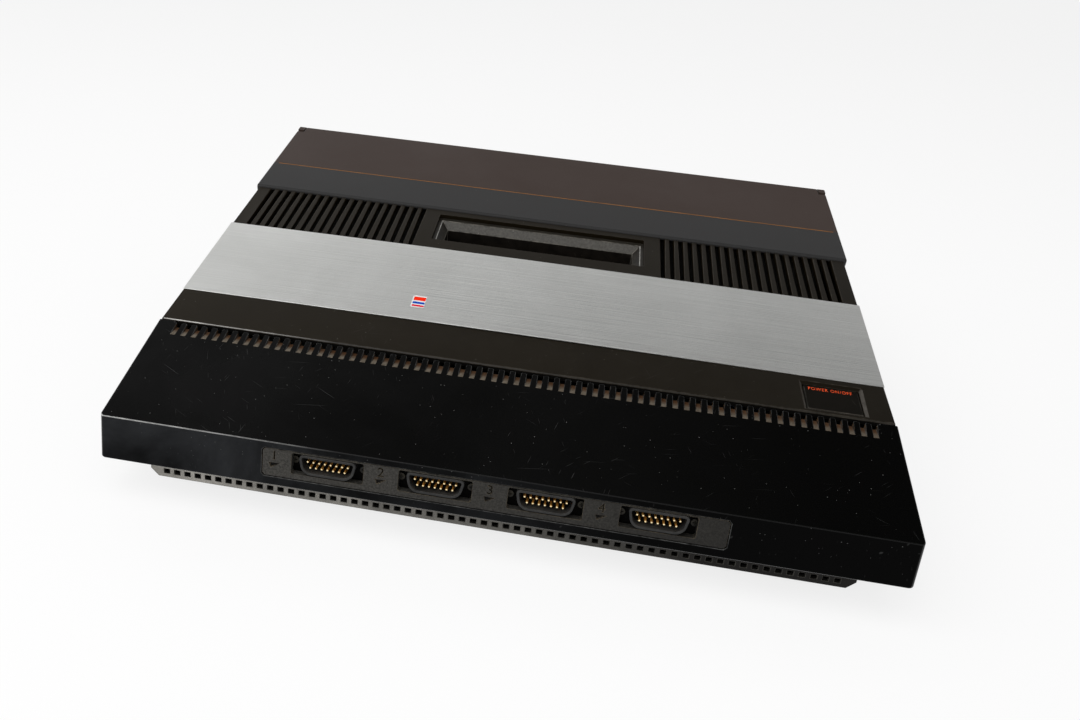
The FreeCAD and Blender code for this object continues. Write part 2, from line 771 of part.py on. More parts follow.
def hinge_cheeks(body):
    """Two cheeks at the rear corners that hold the lid's pins, and the trough between them."""
    roof = "tan(deck_angle)"
    cheek = [("trough_y", "trough_z"), ("rear_y", "trough_z"),
             ("rear_y", f"strip_z + (rear_y - strip_y) * {roof} + lid_rise / cos(deck_angle)"),
             ("trough_y", f"strip_z + (trough_y - strip_y) * {roof} + lid_rise / cos(deck_angle)")]
    pad(body, sketch(body, "side", [cheek]), "2 * lid_half", symmetric=True)
    round_edges(body, "hinge_radius - 0.2", lambda middle, run: abs(run.x) > 0.9
                and near(middle.y, "rear_y") and middle.z > number("hinge_z"))
    trough = rectangle("trough_y", "trough_z", "rear_y + 1", "hinge_z + 3 * hinge_radius")
    pocket(body, sketch(body, "side", [trough]), "2 * (half_width - shell_wall)", symmetric=True)
    bore = disc("hinge_y", "hinge_z", "(hinge_pin_radius + hinge_bore_gap)")
    pocket(body, sketch(body, "side", [bore]), "2 * (lid_half - cheek_skin)", symmetric=True)


def button_well(body):
    """The guided well under the strip that holds the power button and its spring."""
    def around(width, length):
        return rectangle(f"button_x - ({width}) / 2", f"button_along - ({length}) / 2",
                         f"button_x + ({width}) / 2", f"button_along + ({length}) / 2")
    room_wide = "button_width + 2 * button_gap"
    room_long = "button_length + 2 * button_gap"
    outer = around(f"{room_wide} + 2 * well_wall", f"{room_long} + 2 * well_wall")
    pad(body, sketch(body, "plan", [outer], DECK, v="-shell_wall / 2"),
        "well_depth + well_wall - shell_wall / 2", reversed_way=True)
    pocket(body, sketch(body, "plan", [around(room_wide, room_long)], DECK, v="1"), "well_depth + 1")
    rim_x = number(f"({room_wide}) / 2")
    edges_at = number("button_x")
    round_edges(body, "button_bevel", lambda middle, run: middle.z > number(DECK.z("button_along")) - 3
                and abs(middle.x - edges_at) < rim_x + 0.1
                and abs(middle.z - number(f"strip_z + ({middle.y} - strip_y) * tan(deck_angle)")) < 0.05
                and number("strip_y") + 0.5 < middle.y < number("trim_y"), kind="Chamfer")
    stem_hole = many_sided("button_x", "button_along", "stem_radius + stem_gap", 12)
    pocket(body, sketch(body, "plan", [stem_hole], DECK, v="-well_depth + 1"), "well_wall + 2")


def deck_openings(body):
    """The band's seat, the cartridge mouth and the opening of the bay."""
    seat = rectangle("-half_width - 1", "0", "half_width + 1", "trim_length")
    pocket(body, sketch(body, "plan", [seat], TRIM, v="1"), "trim_gauge + 1")
    folds = [rectangle("-half_width - 1", "0", "-trim_half + trim_gauge", "trim_length"),
             rectangle("trim_half - trim_gauge", "0", "half_width + 1", "trim_length")]
    pocket(body, sketch(body, "plan", folds, TRIM, v="0"), "trim_flange + fit_gap")
    mouth = rounded("-mouth_width / 2", "mouth_start", "mouth_width / 2",
                    "mouth_start + mouth_length", "mouth_radius")
    pocket(body, sketch(body, "plan", [mouth], DECK, v="1"), "shell_wall + 2")
    bay = cornered("-bay_width / 2", "bay_start", "bay_width / 2",
                   "(bay_end_y - strip_y) / cos(deck_angle)", "2")
    pocket(body, sketch(body, "plan", [bay], DECK, v="1"), "shell_wall - rim_v + 2")


def grilles(body):
    """A row of slots on each side of the cartridge slot."""
    for first_x in ("-(grille_inner + (grille_count - 1) * grille_pitch)", "grille_inner"):
        slot = rectangle(f"{first_x} - grille_slot_width / 2", "-shell_wall - 3",
                         f"{first_x} + grille_slot_width / 2", "1")
        opening = pocket(body, sketch(body, "front", [slot], DECK, u="grille_start"), "grille_length")
        repeat(body, opening, "grille_count", "grille_pitch")


def housing_posts(body):
    """Screw posts: one each side of the deck, and two under the trough at the rear."""
    deck_roof = "strip_z + (middle_post_y - strip_y) * tan(deck_angle) - 0.7 * shell_wall"
    posts = [("-post_x", "middle_post_y", deck_roof), ("post_x", "middle_post_y", deck_roof),
             ("-rear_post_x", "rear_post_y", "trough_z - shell_wall / 2"),
             ("rear_post_x", "rear_post_y", "trough_z - shell_wall / 2")]
    for x, y, top in posts:
        pad(body, sketch(body, "plan", [many_sided(x, y, "post_radius", 8)], v="flange_top"),
            f"{top} - flange_top")
        pocket(body, sketch(body, "plan", [many_sided(x, y, "screw_radius")], v="flange_top - 1"),
               "11", reversed_way=True)


def trim_panel():
    """The brushed band: one crowned sheet with a short fold down each side."""
    body = new_body("trim_panel", TRIM)
    outer_radius = "(trim_half * trim_half + trim_crown * trim_crown) / (2 * trim_crown)"
    inner_half = "(trim_half - trim_gauge)"
    inner_radius = f"({inner_half} * {inner_half} + trim_crown * trim_crown) / (2 * trim_crown)"
    section = [("-trim_half", "-trim_flange"), ("-trim_half + trim_gauge", "-trim_flange"),
               ("-trim_half + trim_gauge", "-trim_gauge", "-" + inner_radius),
               ("trim_half - trim_gauge", "-trim_gauge"), ("trim_half - trim_gauge", "-trim_flange"),
               ("trim_half", "-trim_flange"), ("trim_half", "0", outer_radius), ("-trim_half", "0")]
    pad(body, sketch(body, "front", [section]), "trim_length", reversed_way=True)
    return body


def trim_badge():
    """The small label on the band, laid on its crown."""
    crown_here = "trim_crown * (1 - badge_x * badge_x / (trim_half * trim_half))"
    body = new_body("trim_badge", TRIM, x="badge_x", u="badge_along", v=crown_here)
    plate = cornered("-badge_width / 2", "-badge_length / 2", "badge_width / 2",
                     "badge_length / 2", "0.6")
    pad(body, sketch(body, "plan", [plate]), "badge_gauge")
    return body


def power_button():
    """The square button: a hollow cap on a stem whose thin tip reaches into the switch."""
    body = new_body("power_button", DECK, x="button_x", u="button_along", v="-button_sink")
    cap = cornered("-button_width / 2", "-button_length / 2", "button_width / 2",
                   "button_length / 2", "0.7")
    pad(body, sketch(body, "plan", [cap]), "button_height", reversed_way=True)
    round_edges(body, "0.4", lambda middle, run: near(middle.z, "0"), kind="Chamfer")
    hollow = rectangle("-button_width / 2 + 1.6", "-button_length / 2 + 1.6",
                       "button_width / 2 - 1.6", "button_length / 2 - 1.6")
    pocket(body, sketch(body, "plan", [hollow], v="-button_height - 1"), "button_height - 0.8",
           reversed_way=True)
    pad(body, sketch(body, "plan", [many_sided("0", "0", "stem_radius", 12)], v="-1"),
        "stem_length - 1", reversed_way=True)
    pad(body, sketch(body, "plan", [many_sided("0", "0", "tip_radius")], v="-stem_length + 1"),
        "tip_length + 1", reversed_way=True)
    return body


def button_spring():
    """The coil that lifts the button, standing on the well's floor round the stem."""
    coil_height = "(well_depth - button_sink - 1.8 - spring_wire)"
    upright = FreeCAD.Rotation(FreeCAD.Vector(1, 0, 0), 90)
    rings = []
    for step in range(41):
        turn = 36 * step
        start = (f"spring_radius * cos({turn})", f"spring_radius * sin({turn})",
                 f"{coil_height} * {step} / 40")
        rotation = FreeCAD.Rotation(FreeCAD.Vector(0, 0, 1), turn) * upright
        rings.append(ring(start, "spring_wire / 2", 6, rotation))
    coil = loft(rings)
    place(coil, DECK, "button_x", "button_along", "-well_depth + spring_wire / 2")
    return subpart(coil, "button_spring")


def power_switch():
    """The push switch on the main board, bored for the tip of the button's stem."""
    tip_middle = "-button_sink - stem_length - tip_length / 2"
    middle_y = DECK.y("button_along", tip_middle)
    shoulder_z = DECK.z("button_along", "-button_sink - stem_length - button_travel")
    end_z = DECK.z("button_along", "-button_sink - stem_length - tip_length - button_travel")
    top = f"{shoulder_z} - 1.2"
    case = block(WORLD, ("button_x", middle_y, "board_top"), ("8.8", "12", f"{top} - board_top"))
    bore = peg(WORLD, ("button_x", middle_y, f"{end_z} - 0.8"), "tip_radius + 1.5", "20", 12)
    return subpart(cut(case, bore), "power_switch")


def cartridge_well():
    """The funnel and throat under the mouth, which guide a cartridge to its connector."""
    body = new_body("cartridge_well")
    flange = rectangle("-mouth_width / 2 - well_flange", "mouth_start - well_flange",
                       "mouth_width / 2 + well_flange", "seat_start - shell_wall - fit_gap")
    pad(body, sketch(body, "plan", [flange], DECK, v="-shell_wall"), "well_flange_gauge",
        reversed_way=True)
    throat_back = "throat_front + throat_depth"
    tube_top = "strip_z + (throat_front - strip_y) * tan(deck_angle) - shell_wall - 0.5"
    tube = rectangle("-throat_width / 2 - 2", "throat_front - 2", "throat_width / 2 + 2",
                     f"{throat_back} + 2")
    pad(body, sketch(body, "plan", [tube], v="throat_bottom"), f"{tube_top} - throat_bottom")
    throat = rectangle("-throat_width / 2", "throat_front", "throat_width / 2", throat_back)
    pocket(body, sketch(body, "plan", [throat], v="throat_bottom - 1"), "80", reversed_way=True)
    wide = rectangle("-mouth_width / 2 + 2", "mouth_start + 0.6", "mouth_width / 2 - 2",
                     "mouth_start + mouth_length - 3")
    shift = "(shell_wall + funnel_depth) * tan(deck_angle)"
    narrow = rectangle("-throat_width / 2",
                       f"(throat_front - strip_y) / cos(deck_angle) - {shift}",
                       "throat_width / 2", f"({throat_back} - strip_y) / cos(deck_angle) - {shift}")
    funnel = body.newObject("PartDesign::SubtractiveLoft", "Funnel")
    funnel.Profile = sketch(body, "plan", [wide], DECK, v="-shell_wall")
    funnel.Sections = [sketch(body, "plan", [narrow], DECK, v="-shell_wall - funnel_depth")]
    doc.recompute()
    return body


def cartridge_connector():
    """The edge connector on the main board, slotted for the cartridge's card."""
    base = block(WORLD, ("0", "throat_middle", "board_top"),
                 ("connector_width", "connector_depth", "connector_height"))
    slot = block(WORLD, ("0", "throat_middle", "board_top + 6"),
                 ("connector_width - 10", "4.4", "connector_height"))
    return subpart(cut(base, slot), "cartridge_connector")


def connector_contacts():
    """Two rows of spring contacts on the walls of the connector's slot."""
    contacts = []
    for side in (-1, 1):
        for step in range(10):
            contacts.append(block(
                WORLD, (f"({step} - 4.5) * contact_pitch", f"throat_middle + ({side}) * 1.7",
                        "board_top + 6"), ("1.2", "1", "connector_height - 8")))
    return subpart(group(contacts), "connector_contacts")


def storage_bin():
    """The tub under the lid, closed below and open above, hung under the bay's rim."""
    body = new_body("storage_bin")
    roof = "tan(deck_angle)"
    under = "rim_v - shell_wall"
    front = DECK.y("bay_start", under)
    back = "bay_end_y"
    floor = "flange_top + fit_gap"

    def top(y):
        return f"strip_z + ({y} - strip_y) * {roof} + ({under}) / cos(deck_angle)"
    outline = [(f"{front} - bin_wall", floor), (f"{back} + bin_wall", floor),
               (f"{back} + bin_wall", top(f"({back} + bin_wall)")),
               (f"{front} - bin_wall", top(f"({front} - bin_wall)"))]
    pad(body, sketch(body, "side", [outline]), "bay_width + 2 * bin_wall", symmetric=True)
    round_edges(body, "bin_wall + 1", lambda middle, run: near(middle.z, floor) or abs(run.z) > 0.9,
                kind="Chamfer")
    inner = [(front, f"{floor} + bin_wall"), (back, f"{floor} + bin_wall"),
             (back, top(f"({back})") + " + 3"), (front, top(f"({front})") + " + 3")]
    pocket(body, sketch(body, "side", [inner]), "bay_width", symmetric=True)
    return body


def storage_lid():
    """The lid: a thin plate with side skirts that ends in a round roll on the hinge line."""
    body = new_body("storage_lid", DECK)
    under = "lid_rise - lid_gauge"
    wide_end = "hinge_u - lid_swing"
    plate = rectangle("lid_start", "lid_rise - lid_skirt", wide_end, "lid_rise")
    pad(body, sketch(body, "side", [plate]), "2 * lid_half", symmetric=True)
    below = rectangle("lid_start - 1", "lid_rise - lid_skirt - 1", f"{wide_end} + 1", under)
    pocket(body, sketch(body, "side", [below]), "2 * (half_width + fit_gap)", symmetric=True)
    round_edges(body, "nose_radius", lambda middle, run: near(middle.z, "lid_rise")
                and near(middle.y, "lid_start"))
    round_edges(body, "1", lambda middle, run: near(middle.z, "lid_rise")
                and near(abs(middle.x), "lid_half"))
    neck = rectangle(f"{wide_end} - 1", under, "hinge_u", "lid_rise")
    pad(body, sketch(body, "side", [neck]), "2 * roll_half", symmetric=True)
    roll = disc("hinge_u", "hinge_v", "hinge_radius")
    pad(body, sketch(body, "side", [roll]), "2 * roll_half", symmetric=True)
    rib_front = "bay_start + 2.4"
    rib_back = "cheek_u - bay_rim - 6"
    rib_side = "bay_width / 2 - 3"
    frame_loops = [rectangle(f"-({rib_side})", rib_front, rib_side, rib_back),
                   rectangle(f"-({rib_side}) + rib_gauge", f"{rib_front} + rib_gauge",
                             f"{rib_side} - rib_gauge", f"{rib_back} - rib_gauge")]
    pad(body, sketch(body, "plan", frame_loops, v=f"{under} + 0.5"), "rib_drop + 0.5",
        reversed_way=True)
    for side, way in (("-1", True), ("1", False)):
        bore = sketch(body, "side", [disc("hinge_u", "hinge_v", "hinge_pin_radius")],
                      x=f"{side} * (roll_half + 1)")
        pocket(body, bore, "hinge_pin_bury + 1", reversed_way=way)
    return body


def lid_hinge_pins():
    """Two steel pins, pressed into the ends of the lid's roll."""
    length = "hinge_pin_bury + roll_gap + shell_wall + lid_overhang - cheek_skin - 0.3"
    pins = [axle(("roll_half - hinge_pin_bury", "hinge_y", "hinge_z"), "hinge_pin_radius", length),
            axle((f"-(roll_half - hinge_pin_bury) - ({length})", "hinge_y", "hinge_z"),
                 "hinge_pin_radius", length)]
    return subpart(group(pins), "lid_hinge_pins")


def trough_outline(half, chamfer, low, high):
    """The section of the tray's pan, with its two lower corners cut off."""
    return [(f"-{half} + {chamfer}", low), (f"{half} - {chamfer}", low),
            (half, f"{low} + {chamfer}"), (half, high), (f"-{half}", high),
            (f"-{half}", f"{low} + {chamfer}")]


def bottom_case():
    """The tray: a flange that closes the shells, and an inset pan with a row of square vents."""
    body = new_body("bottom_case")
    side = "half_width - shell_wall - fit_gap"
    flange_front = "face_y + shell_wall + flange_gauge * tan(lean_angle) + fit_gap"
    flange = cornered(f"-({side})", flange_front, side, "rear_y - shell_wall - fit_gap", "2")
    pad(body, sketch(body, "plan", [flange], v="rim_z"), "flange_gauge")
    pan = trough_outline("(tray_width / 2)", "tray_chamfer", "foot_height", "rim_z + 1")
    pad(body, sketch(body, "front", [pan], u="tray_front"), "tray_rear - tray_front",
        reversed_way=True)
    room = trough_outline("(tray_width / 2 - tray_wall)", "0.65 * tray_chamfer", "floor_top",
                          "flange_top + 1")
    pocket(body, sketch(body, "front", [room], u="tray_front + tray_wall"),
           "tray_rear - tray_front - 2 * tray_wall")
    for x, y in board_screw_places():
        pad(body, sketch(body, "plan", [many_sided(x, y, "boss_radius", 8)], v="floor_top - 0.5"),
            "boss_height + 0.5")
    bores = [many_sided(x, y, "(screw_radius - 0.3)") for x, y in board_screw_places()]
    pocket(body, sketch(body, "plan", bores, v="board_z + 1"), "boss_height")
    holes = [many_sided(x, y, "(screw_radius + 0.2)") for x, y in case_screw_places()]
    pocket(body, sketch(body, "plan", holes, v="flange_top + 1"), "flange_gauge + 3")
    sinks = [many_sided(x, y, "(head_radius + 0.3)") for x, y in case_screw_places()]
    pocket(body, sketch(body, "plan", sinks, v="rim_z - 1"), "1 + head_height", reversed_way=True)
    rear_ports = [many_sided("outlet_x", "foot_height + 7.6", "outlet_radius", 12),
                  rectangle("switch_x - 5", "foot_height + 6.2", "switch_x + 5", "foot_height + 9.4")]
    pocket(body, sketch(body, "front", rear_ports, u="tray_rear - tray_wall - 1"), "tray_wall + 2")
    first_x = "-(vent_count - 1) * vent_pitch / 2"
    vent = rectangle(f"{first_x} - vent_width / 2", "floor_top + 0.1", f"{first_x} + vent_width / 2",
                     "floor_top + 0.1 + vent_height")
    opening = pocket(body, sketch(body, "front", [vent], u="tray_front - 1"), "tray_wall + 2")
    repeat(body, opening, "vent_count", "vent_pitch")
    return body


def case_screw_places():
    return [("-post_x", "front_post_y"), ("post_x", "front_post_y"),
            ("-post_x", "middle_post_y"), ("post_x", "middle_post_y"),
            ("-rear_post_x", "rear_post_y"), ("rear_post_x", "rear_post_y")]


def board_screw_places():
    front = "main_board_front + 8"
    back = "main_board_front + main_board_depth - 8"
    side = "board_half - 8"
    return [(f"-({side})", front), (side, front), (f"-({side})", back), (side, back),
            ("-12", front)]


def case_screws():
    """Six screws from below that hold the tray to the posts of both shells."""
    screws = []
    for x, y in case_screw_places():
        head = peg(WORLD, (x, y, "rim_z"), "head_radius", "head_height")
        shank = peg(WORLD, (x, y, "rim_z + 0.5"), "screw_radius", "flange_gauge + 8")
        screws.append(fuse([head, shank]))
    return subpart(group(screws), "case_screws")


def board_screws():
    """Five screws that hold the main board to the tray's bosses."""
    screws = []
    for x, y in board_screw_places():
        head = peg(WORLD, (x, y, "board_top"), "head_radius", "head_height")
        shank = peg(WORLD, (x, y, "board_top - board_gauge - 4"), "screw_radius - 0.3",
                    "board_gauge + 4.5")
        screws.append(fuse([head, shank]))
    return subpart(group(screws), "board_screws")


def rubber_feet():
    """Four round feet with a chamfered tread, under the corners of the tray."""
    feet = []
    for x in ("-(tray_width / 2 - foot_inset_x)", "tray_width / 2 - foot_inset_x"):
        for y in ("tray_front + foot_inset_y", "tray_rear - foot_inset_y"):
            tread = ring((x, y, "0"), "foot_radius - 1.5", 14)
            feet.append(loft([tread, ring((x, y, "foot_height"), "foot_radius", 14)]))
    return subpart(group(feet), "rubber_feet")


def main_board():
    """The circuit board on the tray's bosses."""
    board = box(WORLD, ("-board_half", "main_board_front", "board_z"),
                ("2 * board_half", "main_board_depth", "board_gauge"))
    holes = [peg(WORLD, (x, y, "board_z - 1"), "screw_radius", "board_gauge + 2")
             for x, y in board_screw_places()]
    return subpart(cut(board, fuse(holes)), "main_board")


def processor_chips():
    """The dual in-line chips under the screen, each a case on a narrower slab of legs."""
    chips = []
    rows = [(-0.3, 42, 36, 14), (0, 42, 52, 14), (0.29, 42, 36, 14), (-0.3, 78, 36, 14),
            (-0.08, 78, 36, 14), (0.14, 78, 26, 8), (0.31, 78, 26, 8), (-0.3, 110, 36, 14)]
    for share, setback, wide, deep in rows:
        x, y = f"shield_x + ({share}) * shield_width", f"main_board_front + {setback}"
        case = block(WORLD, (x, y, "board_top + 0.8"), (wide, deep, "chip_height"))
        legs = block(WORLD, (x, y, "board_top"), (wide - 4, deep + 2, "2"))
        chips.append(fuse([case, legs]))
    return subpart(group(chips), "processor_chips")


def screen(label, floor, height, roof_up):
    """A folded tin screen: a flat sheet with a low wall round it."""
    shell = block(WORLD, ("shield_x", "shield_y", floor), ("shield_width", "shield_depth", height))
    lift = f"{floor} - 1" if roof_up else f"{floor} + tin_gauge"
    room = block(WORLD, ("shield_x", "shield_y", lift),
                 ("shield_width - 2 * tin_gauge", "shield_depth - 2 * tin_gauge",
                  f"{height} - tin_gauge + 1"))
    return subpart(cut(shell, room), label)


def rf_shields():
    """The two tin screens, above and below the board."""
    screen("rf_shield_upper", "board_top", "shield_height", True)
    screen("rf_shield_lower", "board_z - 3.2", "3.2", False)


def supply_parts():
    """The supply corner: two regulators on a finned heat sink, and the filter capacitors."""
    base = block(WORLD, ("sink_x", "sink_y", "board_top"), ("34", "3", "sink_height"))
    fins = [block(WORLD, (f"sink_x - 15 + {step} * 6", "sink_y + 5.5", "board_top"),
                  ("1.6", "9", "sink_height")) for step in range(6)]
    subpart(fuse([base] + fins), "heat_sink")
    regulators = []
    for side in (-8, 8):
        x, y = f"sink_x + ({side})", "sink_y - 3.8"
        case = block(WORLD, (x, y, "board_top + 4"), ("10", "4.6", "16"))
        legs = [block(WORLD, (f"{x} + ({step})", y, "board_top"), ("0.9", "0.6", "5"))
                for step in (-2.5, 0, 2.5)]
        regulators.append(fuse([case] + legs))
    subpart(group(regulators), "voltage_regulators")
    cans = [peg(WORLD, (f"sink_x + ({x})", f"sink_y - {y}", "board_top"), radius, height, 12)
            for x, y, radius, height in ((-14, 28, "8", "26"), (6, 28, "8", "26"),
                                         (-18, 48, "4", "12"), (-6, 48, "4", "12"),
                                         (6, 48, "4", "12"))]
    subpart(group(cans), "filter_capacitors")
    can = block(WORLD, ("sink_x - 50", "sink_y - 48", "board_top"), ("4.6", "11", "9"))
    subpart(can, "clock_crystal")


def port_ribbon():
    """The flat cable from the port board down and back to the main board."""
    body = new_body("port_ribbon", WORLD)
    back = "port_board_y + board_gauge"
    low, high = "-port_board_height + 3", "-port_board_height + 4"
    bend_y, bend_z = FACE.y(f"{back} + 4", low), FACE.z(f"{back} + 4", low)
    foot = "main_board_front + 9"
    band = [(FACE.y(back, low), FACE.z(back, low)), (bend_y, bend_z),
            ("main_board_front + 4", "board_top + 1.2"), (foot, "board_top"),
            (foot, "board_top + 1"), ("main_board_front + 4.4", "board_top + 2.2"),
            (f"{bend_y} + 0.5", f"{bend_z} + 1"), (FACE.y(back, high), FACE.z(back, high))]
    pad(body, sketch(body, "side", [band], x="-60"), "46", symmetric=True)
    return body


def modulator_parts():
    """The tin modulator on the pan's floor, its channel switch, and the lead's outlet."""
    back = "tray_rear - tray_wall"
    can = box(WORLD, ("modulator_x - modulator_width / 2", f"{back} - 4 - modulator_depth",
                      "floor_top"), ("modulator_width", "modulator_depth", "modulator_height"))
    subpart(can, "rf_modulator")
    switch_z = "foot_height + 6.6"
    case = box(WORLD, ("switch_x - 7", f"{back} - 4", f"{switch_z} - 1.6"), ("14", "3.6", "5.6"))
    groove_wide = "switch_travel + 3.4 + 2 * fit_gap"
    groove = box(WORLD, (f"switch_x - ({groove_wide}) / 2", f"{back} - 2.8",
                         f"{switch_z} - fit_gap"), (groove_wide, "4", "2.4 + 2 * fit_gap"))
    subpart(cut(case, groove), "channel_switch_body")
    slider = box(WORLD, ("switch_x - (switch_travel + 3.4) / 2", f"{back} - 2.6", switch_z),
                 ("3.4", "tray_wall + 3.8", "2.4"))
    subpart(slider, "channel_switch")
    sleeve = peg(WORLD, ("outlet_x", f"{back} - 1.4", "foot_height + 7.6"), "outlet_radius - 0.05",
                 "tray_wall + 1.4", 12, "-90")
    collar = peg(WORLD, ("outlet_x", "tray_rear", "foot_height + 7.6"), "outlet_radius + 1.4", "1.4",
                 12, "-90")
    bore = rod(WORLD, ("outlet_x", f"{back} - 3", "foot_height + 7.6"), "outlet_radius - 1.6", "10",
               turn="-90")
    subpart(cut(fuse([sleeve, collar]), bore), "cable_grommet")


def build_all():
    """Build every sub-part, from the outside in."""
    front_shell()
    port_plate()
    pins = []
    for index in (1, 2, 3, 4):
        row = row_of_pins(index)
        controller_port(index, row)
        pins += row
    subpart(group(pins), "port_pins")
    port_board()
    port_screws()
    port_ribbon()
    upper_housing()
    trim_panel()
    trim_badge()
    power_button()
    button_spring()
    power_switch()
    cartridge_well()
    cartridge_connector()
    connector_contacts()
    storage_bin()
    storage_lid()
    lid_hinge_pins()
    bottom_case()
    rubber_feet()
    case_screws()
    main_board()
    board_screws()
    processor_chips()
    rf_shields()
    supply_parts()
    modulator_parts()


def check_all():
    """Stop if any object failed or any sub-part has no sound shape."""
    doc.recompute()
    for item in doc.Objects:
        if "Invalid" in item.State or "Error" in item.State:
            raise RuntimeError("%s (%s) failed to build" % (item.Name, item.Label))
    for item in SUBPARTS:
        if item.Shape.isNull() or not item.Shape.isValid():
            raise RuntimeError("%s has no valid shape" % item.Label)


def write_parts():
    """Write each sub-part as a STEP file that has its node's name."""
    os.makedirs("parts", exist_ok=True)
    for item in SUBPARTS:
        item.Shape.exportStep(os.path.join("parts", item.Label + ".step"))
        box_of = item.Shape.BoundBox
        print("%-22s solids %3d volume %10.1f  x %7.1f %7.1f  y %7.1f %7.1f  z %6.1f %6.1f" % (
            item.Label, len(item.Shape.Solids), item.Shape.Volume, box_of.XMin, box_of.XMax,
            box_of.YMin, box_of.YMax, box_of.ZMin, box_of.ZMax))


build_all()
check_all()
write_parts()
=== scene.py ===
import json
import logging
import math
from contextlib import contextmanager
from dataclasses import dataclass, replace
from enum import Enum
from typing import Callable, Iterator, Sequence

import bpy
from mathutils import Matrix, Vector

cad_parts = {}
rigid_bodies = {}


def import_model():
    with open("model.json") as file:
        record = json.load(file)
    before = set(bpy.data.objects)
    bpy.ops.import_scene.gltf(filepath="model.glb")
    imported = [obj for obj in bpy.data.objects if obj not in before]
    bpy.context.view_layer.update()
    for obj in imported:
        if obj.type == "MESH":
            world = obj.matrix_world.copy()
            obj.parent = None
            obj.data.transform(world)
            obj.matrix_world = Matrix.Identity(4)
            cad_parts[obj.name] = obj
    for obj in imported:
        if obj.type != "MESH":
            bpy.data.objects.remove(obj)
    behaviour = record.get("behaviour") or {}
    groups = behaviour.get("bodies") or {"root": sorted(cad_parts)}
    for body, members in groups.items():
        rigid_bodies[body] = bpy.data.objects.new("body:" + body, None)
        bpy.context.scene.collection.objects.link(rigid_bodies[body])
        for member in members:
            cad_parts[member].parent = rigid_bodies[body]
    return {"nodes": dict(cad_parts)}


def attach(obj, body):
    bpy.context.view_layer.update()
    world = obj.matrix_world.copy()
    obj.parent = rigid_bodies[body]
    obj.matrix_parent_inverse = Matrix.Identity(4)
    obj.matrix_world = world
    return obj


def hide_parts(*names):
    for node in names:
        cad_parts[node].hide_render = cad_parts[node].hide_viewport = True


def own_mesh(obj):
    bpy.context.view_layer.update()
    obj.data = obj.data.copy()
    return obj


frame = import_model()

LOG = logging.getLogger("console")
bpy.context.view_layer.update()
MM = 0.001
SHARP_ANGLE = math.radians(32)
SMOOTH_ANGLE = math.radians(46)
FLAT_ANGLE = math.radians(0.2)

Piece = bpy.types.Object
Socket = bpy.types.NodeSocket
Colour = tuple[float, float, float]
Triple = tuple[float, float, float]
Pair = tuple[float, float]
Test = Callable[..., bool]
ANY = math.inf
FREE: Pair = (-ANY, ANY)


# Places on the console

@dataclass(frozen=True)
class Plane:
    """A flat of the console that runs across its whole width, tilted about X.

    Attributes:
        along: Y of its front line, in mm.
        height: Z of its front line, in mm.
        tilt: its slope, in degrees.
    """

    along: float
    height: float
    tilt: float

    def matrix(self, x: float, u: float, v: float = 0.0) -> Matrix:
        """The placement of a piece on the flat.

        Args:
            x: place across the console, in mm.
            u: distance up the slope, in mm.
            v: height above the flat, in mm.

        Returns:
            A matrix in metres whose Z axis stands on the flat.
        """
        turn = Matrix.Rotation(math.radians(self.tilt), 4, "X")
        start = Vector((x, self.along, self.height)) * MM
        return Matrix.Translation(start + turn.to_3x3() @ Vector((0, u, v)) * MM) @ turn

    def measure(self, point: Vector) -> Vector:
        """A point in metres as its x, u and v on the flat, in mm."""
        turn = Matrix.Rotation(-math.radians(self.tilt), 3, "X")
        return turn @ (point / MM - Vector((0, self.along, self.height)))


PANEL = Plane(-160.8, 43.8, 15.771)
FACE = Plane(-160.8, 43.8, -5.512)
DECK = Plane(-91.4, 64.2, 9.83)
BAND = Plane(-62.431, 69.219, 10.59)
LEVEL = Plane(0.0, 0.0, 0.0)


def within(value: float, limits: Pair) -> bool:
    """Whether a value lies between two limits."""
    return limits[0] < value < limits[1]


@dataclass(frozen=True)
class Zone:
    """A part of the console between limits in mm, measured on one of its flats.

    Attributes:
        plane: the flat.
        x: limits of the distance from the console's middle, to either side.
        u: limits of the distance up the slope.
        v: limits of the height above the flat.
    """

    plane: Plane = LEVEL
    x: Pair = FREE
    u: Pair = FREE
    v: Pair = FREE

    def holds(self, point: Vector) -> bool:
        """Whether a point in metres lies in the zone."""
        place = self.plane.measure(point)
        return within(abs(place.x), self.x) and within(place.y, self.u) and within(place.z, self.v)


@dataclass(frozen=True)
class EdgeTest(Zone):
    """A test for the edges that lie in a zone and run along an axis of its flat.

    Attributes:
        axis: the axis, 0 for x, 1 for u and 2 for v.
        run: how far the edge runs along it at least, in mm.
    """

    axis: int = 0
    run: float = -1.0

    def __call__(self, start: Vector, end: Vector) -> bool:
        """Whether the edge between two ends passes."""
        way = self.plane.measure(start) - self.plane.measure(end)
        return abs(way[self.axis]) > self.run and self.holds(start) and self.holds(end)


@dataclass(frozen=True)
class FaceTest(Zone):
    """A test for the faces whose centre lies in a zone and that look a certain way.

    Attributes:
        side: limits of the normal's X, to either side.
        front: limits of the normal's Y.
        up: limits of the normal's Z.
    """

    side: Pair = FREE
    front: Pair = FREE
    up: Pair = FREE

    def __call__(self, centre: Vector, normal: Vector) -> bool:
        """Whether the face with a centre and a normal passes."""
        return (within(abs(normal.x), self.side) and within(normal.y, self.front)
                and within(normal.z, self.up) and self.holds(centre))


# Shaping

